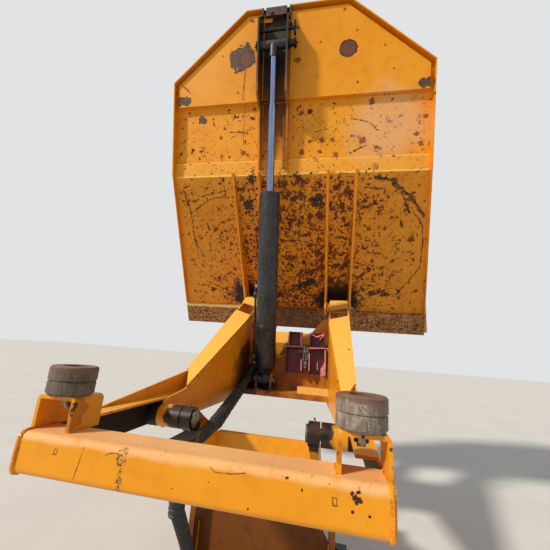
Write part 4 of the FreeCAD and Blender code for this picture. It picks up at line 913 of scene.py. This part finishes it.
class SKIPUNIT_OT_seams(bpy.types.Operator):
    """Weld beads along the seams of the base, the sub-frame and the skip"""

    bl_idname = "skipunit.seams"
    bl_label = "Weld seams"

    def execute(self, context):
        sizes = context.scene.skipunit_sizes
        weld = bpy.data.materials["painted_weld"]

        def beads(name, lines, body):
            grids = [bead(line, sizes.seam, sizes.ripple) for line in lines]
            piece(name, grids, weld, body)

        def both(lines):
            return lines + [[(-x, y, z) for x, y, z in line] for line in lines]

        low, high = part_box("rest_beam")
        corner = 0.018
        end = rounded(high[1] - low[1], high[2] - low[2], corner)
        end = np.concatenate([end, end[:1]])
        middle = ((low[1] + high[1]) / 2, (low[2] + high[2]) / 2)
        ring = [(high[0], middle[0] + a, middle[1] + b) for a, b in end]
        lines = [ring]
        foot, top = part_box("buffer_bracket_right")
        for x in (foot[0], top[0]):
            lines.append([(x, foot[1], foot[2]), (x, high[1] - corner, foot[2])])
        web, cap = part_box("upright_right")
        deck_low, deck_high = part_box("ram_deck")
        face = deck_high[0]
        slope = (cap[2] - 0.020 - 1.058) / (0.776 + 0.272)
        lines.append([(face, y, 1.058 + (y + 0.272) * 0.5716) for y in (0.335, 0.776)])
        lines.append([(0.384 - 0.003, -0.404, 0.979), (face, 0.330, 1.402)])
        for z in (deck_low[2], deck_high[2] - 0.068):
            lines.append([(face, deck_low[1], z), (face, deck_high[1], z)])
        plate_low, plate_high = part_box("front_cross_plate")
        lines.append([(face, plate_low[1], 0.93), (face, plate_low[1], 1.265), (face, plate_low[1] + 0.09, 1.355)])
        beads("welds_frame", both(lines), "subframe")

        lines = []
        for offset in (-0.062, -0.046, 0.046, 0.062):
            lines.append([(RAM_X + offset, 0.357, 0.917), (RAM_X + offset, 0.473, 0.917)])
        for name in ("prop_left", "prop_right"):
            near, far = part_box(name)
            for x in (near[0] + 0.009, far[0] - 0.009):
                lines.append([(x, plate_low[1], 1.047), (x, plate_low[1], 1.246)])
        beads("welds_lugs", lines, "subframe")

        ears = []
        for x in (0.258, 0.274, 0.466, 0.482):
            ears.append([under(x, 1.052), under(x, 0.030)])
        rim = [(0.0, -2.276), (0.360, -2.276), (0.943, -1.785), (0.940, -1.616), (0.0, -1.616)]
        panel = [[(x, y, FLOOR_Z - 0.001) for x, y in rim[3:]]]
        outer = [[(x, y, PANEL_Z + 0.0335) for x, y in rim[:4]]]
        strip = [[(0.0, -1.167, FLOOR_Z - 0.001), (0.972, -1.167, FLOOR_Z - 0.001)]]
        lip = [[under(0.0, -0.027), under(1.03, -0.027)]]
        skip_lines = both(ears + panel + outer + strip + lip)
        for offset in (-0.112, -0.100, 0.100, 0.112):
            x = RAM_X + offset
            skip_lines.append([under(x, 2.29, -PANEL_Z), under(x, 1.62, -PANEL_Z)])
            skip_lines.append([under(x, 1.61, -FLOOR_Z), under(x, 1.17, -FLOOR_Z)])
        beads("welds_skip", [tipped(line) for line in skip_lines], "skip")

        lines = []
        for x in (0.344, 0.372):
            lines.append([(x, -0.30, 0.025), (x, 0.43, 0.025)])
        lines.append([(0.344, -0.110, 0.03), (0.344, -0.110, 0.29)])
        beads("welds_base", both(lines), "base")
        return {"FINISHED"}


class SKIPUNIT_OT_fasteners(bpy.types.Operator):
    """Keeper plates, bolts, rings and grease nipples of the pins"""

    bl_idname = "skipunit.fasteners"
    bl_label = "Pins and keepers"

    def execute(self, context):
        sizes = context.scene.skipunit_sizes
        zinc = bpy.data.materials["bright_zinc_fittings"]
        bolt = sizes.bolt
        plate = sizes.keeper

        def nipple(origin, axis):
            profile = [(0.006, 0), (0.006, 0.004), (0.004, 0.006), (0.003, 0.010), (0.0045, 0.012), (0.003, 0.016), (0.001, 0.017)]
            return turned(profile, origin, axis, 14)

        def keeper(centre, side, reach):
            """Plate with two bolts across a pin's end."""
            centre = np.asarray(centre, float)
            out = np.array((side, 0.0, 0.0))
            grids = [slab(rounded(reach, 0.034, 0.008), plate, centre, (0, side, 0), UP)]
            for offset in (-1, 1):
                spot = centre + out * plate + np.array((0, offset * (reach / 2 - 0.018), 0))
                grids.append(hexed(bolt * 0.8, 0.011, spot, out, 0.012))
            return grids

        grids = []
        for side in (-1, 1):
            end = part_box("arm_pins")[1][0] * side
            grids += keeper((end, ARM_EYE[1], ARM_EYE[2]), side, 0.110)
            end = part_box("hinge_pins")[1][0] * side
            grids.append(hexed(0.036, 0.016, (end, HINGE[1], HINGE[2]), (side, 0, 0), 0.026))
            face = 0.456 * side
            grids.append(nipple((0.345 * side, HINGE[1] - 0.043, HINGE[2] + 0.016), (0, -1, 0.35)))
            for y, z in ((HINGE[1] - 0.052, HINGE[2] - 0.030), (HINGE[1] + 0.052, HINGE[2] - 0.030)):
                grids.append(hexed(bolt, 0.013, (face, y, z), (side, 0, 0), 0.015))
        low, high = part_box("ram_foot_pin")
        for x, side in ((low[0], -1), (high[0], 1)):
            grids.append(turned([(0.010, 0), (0.028, 0), (0.030, 0.002), (0.030, 0.005), (0.028, 0.007), (0.010, 0.007)], (x, RAM_FOOT[1], RAM_FOOT[2]), (side, 0, 0)))
        piece("fasteners_frame", grids, zinc, "subframe")

        grids = []
        low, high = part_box("ram_pin_ends")
        pin = tipped((0.0, -1.974, -0.576))
        for x, side in ((low[0], -1), (high[0], 1)):
            grids.append(turned([(0.006, -0.016), (0.033, -0.016), (0.035, -0.013), (0.035, -0.006), (0.033, -0.003), (0.006, -0.003)], (x, pin[1], pin[2]), (side, 0, 0)))
            grids.append(nipple((x, pin[1], pin[2]), (side, 0, 0)))
        near = RAM_X + 0.112
        for d, n in ((2.150, 0.530), (2.150, 0.600)):
            spot = tipped((near, -d, -n))
            grids.append(hexed(bolt, 0.013, spot, (1, 0, 0), 0.015))
        tab = slab(rounded(0.075, 0.030, 0.004), 0.006, tipped((RAM_X - 0.072, -2.222, -0.503)), ACROSS, tipped((0, 1, 0)) - HINGE)
        piece("latch_tab", [tab], bpy.data.materials["orange_enamel_frame"], "skip")
        greased = bpy.data.materials["pins_black_with_grease"]
        piece("fasteners_skip", grids, greased, "skip")

        grids = []
        for side in (-1, 1):
            for joint, length in ((ARM_EYE, 0.046), (ARM_PIVOT, 0.062)):
                grids.append(nipple((side * 0.269, joint[1], joint[2] + length - 0.001), (0, -0.3, 1)))
        piece("nipples_arms", grids, zinc, "lift_arms")

        grids = []
        for side in (-1, 1):
            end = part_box("base_pins")[1][0] * side
            grids += keeper((end, ARM_PIVOT[1], ARM_PIVOT[2]), side, 0.130)
        piece("fasteners_base", grids, zinc, "base")
        return {"FINISHED"}


class SKIPUNIT_OT_hydraulics(bpy.types.Operator):
    """Ram gland rings, pipe unions, band clamps and hose ferrules"""

    bl_idname = "skipunit.hydraulics"
    bl_label = "Hydraulic fittings"

    def execute(self, context):
        sizes = context.scene.skipunit_sizes
        zinc = bpy.data.materials["bright_zinc_fittings"]
        black = bpy.data.materials["black_enamel_ram"]
        rubber = bpy.data.materials["woven_rubber_hose"]
        square = np.cross(ACROSS, RAM_AXIS)

        def along_ram(s, dx=0.0, out=0.0):
            return RAM_FOOT + RAM_AXIS * s + ACROSS * dx + square * out

        half = sizes.clamp / 2
        grids = []
        for s in (0.40, 0.62):
            band = [(0.074, -half), (0.0775, -half), (0.079, -half + 0.002), (0.079, half - 0.002), (0.0775, half)]
            band += [(0.074, half), (0.074, -half)]
            grids.append(turned(band, along_ram(s), RAM_AXIS, 48))
            grids.append(slab(rounded(0.034, sizes.clamp, 0.004), 0.026, along_ram(s, -0.088, -0.013), ACROSS, RAM_AXIS))
        rim = [(0.0735, 0.0), (0.0745, 0.0), (0.0765, 0.002), (0.0765, 0.010), (0.0745, 0.012), (0.0735, 0.012), (0.0735, 0.0)]
        for s in (1.352, 1.334):
            grids.append(turned(rim, along_ram(s), RAM_AXIS, 48))
        seal = [(0.0285, 0), (0.040, 0), (0.043, 0.003), (0.041, 0.008), (0.034, 0.012), (0.0285, 0.012), (0.0285, 0)]
        piece("ram_bands", grids, black, "ram_barrel")
        piece("ram_wiper", [turned(seal, along_ram(1.384), RAM_AXIS, 36)], rubber, "ram_barrel")

        grids = []
        for s in (0.12, 0.69):
            grids.append(hexed(0.030, 0.020, along_ram(s, -0.072), -ACROSS))
        grids.append(hexed(0.026, 0.018, along_ram(0.16, -0.087), RAM_AXIS))
        grids.append(hexed(0.026, 0.018, along_ram(0.63, -0.087), RAM_AXIS))
        piece("ram_unions", grids, zinc, "ram_barrel")

        def ferrule(start, direction, radius):
            """Crimped ferrule: a sleeve whose radius dips in six bands."""
            h = np.linspace(0, 0.070, 29)
            r = radius + 0.004 - 0.0022 * (np.sin(h / 0.070 * 6 * np.pi) > 0)
            r[[0, -1]] = radius + 0.001
            return turned(np.stack([r, h], -1), start, direction, 28)

        line = [(-0.2760, 0.277, 0.946), (-0.2440, -0.172, 0.858), (-0.2060, -0.441, 0.833), (-0.2120, -0.735, 0.808)]
        line = smooth_path(line)
        line = line[(line[:, 1] < 0.17) & (line[:, 1] > -0.42)]
        along, at = stepped(line, 0.006)
        swell = 0.0325 + 0.0016 * np.sin(at * 95) + 0.0012 * np.sin(at * 233 + 1.0)
        swell[[0, -1]] = 0.0275
        sleeve = carried(along, swell, 24)
        piece("hose_sleeve", [sleeve], rubber, "subframe")

        start = np.array((-0.278, 0.520, 1.0505))
        run = np.array((-0.276, 0.277, 0.946)) - start
        run /= np.linalg.norm(run)
        grids = [ferrule(start + run * 0.022, run, 0.027), hexed(0.066, 0.022, start + run * 0.001, run, 0.040)]
        lower = np.array((-0.221, -0.700, 0.657))
        rise = np.array((-0.212, -0.735, 0.808)) - lower
        rise /= np.linalg.norm(rise)
        grids.append(ferrule(lower, rise, 0.027))
        piece("ferrules_frame", grids, bpy.data.materials["greasy_black_enamel"], "subframe")
        lower = np.array((-0.2216, -0.6977, 0.647))
        fall = np.array((-0.224, -0.6865, 0.598)) - lower
        fall /= np.linalg.norm(fall)
        foot = np.array((-0.262, -0.283, 0.025))
        rise = np.array((-0.262, -0.330, 0.170)) - foot
        rise /= np.linalg.norm(rise)
        grids = [ferrule(lower, fall, 0.026), ferrule(foot + rise * 0.02, rise, 0.026)]
        grids.append(hexed(0.064, 0.022, foot + rise * 0.001, rise, 0.038))
        piece("ferrules_base", grids, bpy.data.materials["greasy_black_enamel"], "base")
        return {"FINISHED"}


class SKIPUNIT_OT_props(bpy.types.Operator):
    """Flanges in pink painted highlight, return pipes, hooks and the link between the red props"""

    bl_idname = "skipunit.props"
    bl_label = "Prop fittings"

    def execute(self, context):
        zinc = bpy.data.materials["bright_zinc_fittings"]
        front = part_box("prop_left")[0][1]

        def run(corners, depth):
            """Corners across and up in millimetres, at a distance in front of the props."""
            return [(x / 1000, front - depth, z / 1000) for x, z in corners]

        bend = [(-0.002, front + 0.030, 1.262), *run([(-12, 1254), (-21, 1239), (-27, 1216)], 0.0)]
        bend += [*run([(-36, 1195)], -0.010), (-0.062, front + 0.030, 1.170)]
        other = [(0.284, front + 0.030, 1.252), *run([(296, 1244), (306, 1232), (312, 1195), (314, 1160)], 0.0)]
        other += [(0.312, front + 0.030, 1.110)]
        hook = run([(89, 1192), (84, 1206), (92, 1216), (106, 1212), (110, 1198)], 0.006)
        grids = [carried(smooth_path(bend), 0.0065, 12), carried(smooth_path(other), 0.0055, 12)]
        grids.append(carried(smooth_path([(0.090, front + 0.006, 1.180), *hook]), 0.0045, 10))
        for at in (bend[2], other[2]):
            grids.append(hexed(0.020, 0.016, np.array(at) - (0, 0.008, 0), (0, 1, 0)))
        piece("prop_pipes", grids, zinc, "subframe")

        grids = []
        for x, low, high, half in ((0.139, 1.085, 1.225, 0.011), (0.128, 1.130, 1.250, 0.007), (0.150, 1.150, 1.240, 0.006)):
            outline = rounded(2 * half, high - low, half * 0.9)
            grids.append(slab(outline, 0.030, (x, front + 0.032, (low + high) / 2), ACROSS, UP))
        for z in (1.205, 1.120):
            grids.append(hexed(0.020, 0.012, (0.139, front + 0.002, z), (0, -1, 0), 0.013))
        grids.append(carried(smooth_path(run([(128, 1240), (133, 1205), (146, 1190), (143, 1130), (136, 1090)], -0.012)), 0.004, 8))
        piece("prop_link", grids, bpy.data.materials["greased_steel"], "subframe")

        corner = [(279, 1231), (290, 1231), (292, 1160), (292, 1047), (256, 1040), (254, 1093), (270, 1115), (282, 1152)]
        plates = [
            [(91, 1352), (108, 1352), (110, 1249), (97, 1249)],
            [(2, 1350), (9, 1352), (9, 1252), (-2, 1252)],
            [(104, 1150), (112, 1150), (115, 1066), (107, 1066)],
            [(-12, 1243), (118, 1248), (118, 1240), (-12, 1235)],
            [(163, 1197), (171, 1197), (174, 1072), (166, 1072)],
            [(162, 1240), (286, 1248), (286, 1240), (162, 1232)],
            [(237, 1306), (243, 1301), (272, 1336), (266, 1341)],
            [(226, 1142), (231, 1142), (235, 1084), (228, 1084)],
            [(166, 1350), (214, 1328), (219, 1318), (164, 1342)],
            [(219, 1318), (214, 1328), (270, 1350), (276, 1342)],
            corner,
        ]
        grids = []
        for outline in plates:
            low = np.array(outline) / 1000
            around = low if len(low) > 4 else np.repeat(low, 3, 0) + np.tile([[0, 1e-4], [1e-4, 0], [0, -1e-4]], (4, 1))
            order = around - around.mean(0)
            around = around[np.argsort(np.arctan2(order[:, 1], order[:, 0]))] if len(low) == 4 else around
            grids.append(slab(around, 0.006, (0.0, front, 0.0), ACROSS, UP, 0.0008))
        piece("prop_flanges", grids, bpy.data.materials["bleached_red_enamel"], "subframe")
        return {"FINISHED"}


class SKIPUNIT_OT_stage(bpy.types.Operator):
    """Pale floor, soft studio light and the camera"""

    bl_idname = "skipunit.stage"
    bl_label = "Stage"

    def execute(self, context):
        scene = context.scene
        camera = bpy.data.objects.new("Camera", bpy.data.cameras.new("Camera"))
        scene.collection.objects.link(camera)
        rows = np.eye(4)
        rows[:3, 0] = CAMERA_RIGHT
        rows[:3, 1] = -np.array(CAMERA_DOWN)
        rows[:3, 2] = -np.array(CAMERA_FORWARD)
        rows[:3, 3] = CAMERA_PLACE
        camera.matrix_world = Matrix(rows.tolist())
        camera.data.sensor_width = SENSOR_MM
        camera.data.lens = FOCAL_PX / PHOTO_PX * SENSOR_MM
        camera.data.clip_start = 0.05
        camera.data.clip_end = 200
        scene.camera = camera

        bpy.ops.mesh.primitive_plane_add(size=80, location=(0, 0, 0))
        floor = context.object
        floor.name = "floor"
        material, tree, shader, where = new_material("pale_concrete_floor")
        coat = Coat(tree, linear("#D6D4D0"), 0.9)
        coat.lay([cloud(tree, where, 0.6, 0.3, 0.7, seed=300.0)], linear("#DEDCD8"), 0.9)
        coat.join(shader)
        floor.data.materials.append(material)

        world = bpy.data.worlds.new("Studio")
        scene.world = world
        world.use_nodes = True
        tree = world.node_tree
        background = tree.nodes["Background"]
        background.inputs["Color"].default_value = linear("#F2F4F6")
        path = add(tree, "LightPath").outputs
        seen = path["Is Camera Ray"]
        for kind in ("Is Glossy Ray", "Is Transmission Ray"):
            seen = add(tree, "Math", {0: seen, 1: path[kind]}, operation="MAXIMUM").outputs[0]
        strength = add(tree, "Math", {0: seen, 1: 0.45, 2: 0.40}, operation="MULTIPLY_ADD").outputs[0]
        tree.links.new(strength, background.inputs["Strength"])

        sun = bpy.data.objects.new("Sun", bpy.data.lights.new("Sun", "SUN"))
        scene.collection.objects.link(sun)
        sun.data.energy = 3.3
        sun.data.angle = 0.09
        sun.data.color = linear("#FFF6E8")[:3]
        sun.rotation_mode = "QUATERNION"
        sun.rotation_quaternion = Vector((0.590, 0.554, -0.588)).to_track_quat("-Z", "Y")
        scene.view_settings.view_transform = "Standard"
        return {"FINISHED"}


class SKIPUNIT_PT_panel(bpy.types.Panel):
    """Sizes, colours and operators of the skip unit"""

    bl_label = "Skip Unit"
    bl_idname = "SKIPUNIT_PT_panel"
    bl_space_type = "VIEW_3D"
    bl_region_type = "UI"
    bl_category = "Skip Unit"

    def draw(self, context):
        for group in (context.scene.skipunit_sizes, context.scene.skipunit_colours):
            for name in group.bl_rna.properties.keys():
                if name not in ("rna_type", "name"):
                    self.layout.prop(group, name)
        for operator in OPERATORS:
            self.layout.operator(operator.bl_idname)


GROUPS = {"skipunit_colours": SKIPUNIT_PG_colours, "skipunit_sizes": SKIPUNIT_PG_sizes}
OPERATORS = (
    SKIPUNIT_OT_finishes,
    SKIPUNIT_OT_seams,
    SKIPUNIT_OT_fasteners,
    SKIPUNIT_OT_hydraulics,
    SKIPUNIT_OT_props,
    SKIPUNIT_OT_stage,
)
CLASSES = (*GROUPS.values(), *OPERATORS, SKIPUNIT_PT_panel)


def register():
    for cls in CLASSES:
        bpy.utils.register_class(cls)
    for name, group in GROUPS.items():
        setattr(bpy.types.Scene, name, bpy.props.PointerProperty(type=group))


def unregister():
    for name in GROUPS:
        delattr(bpy.types.Scene, name)
    for cls in reversed(CLASSES):
        bpy.utils.unregister_class(cls)


def main():
    register()
    for operator in OPERATORS:
        group, name = operator.bl_idname.split(".")
        getattr(getattr(bpy.ops, group), name)()


if __name__ == "__main__":
    main()
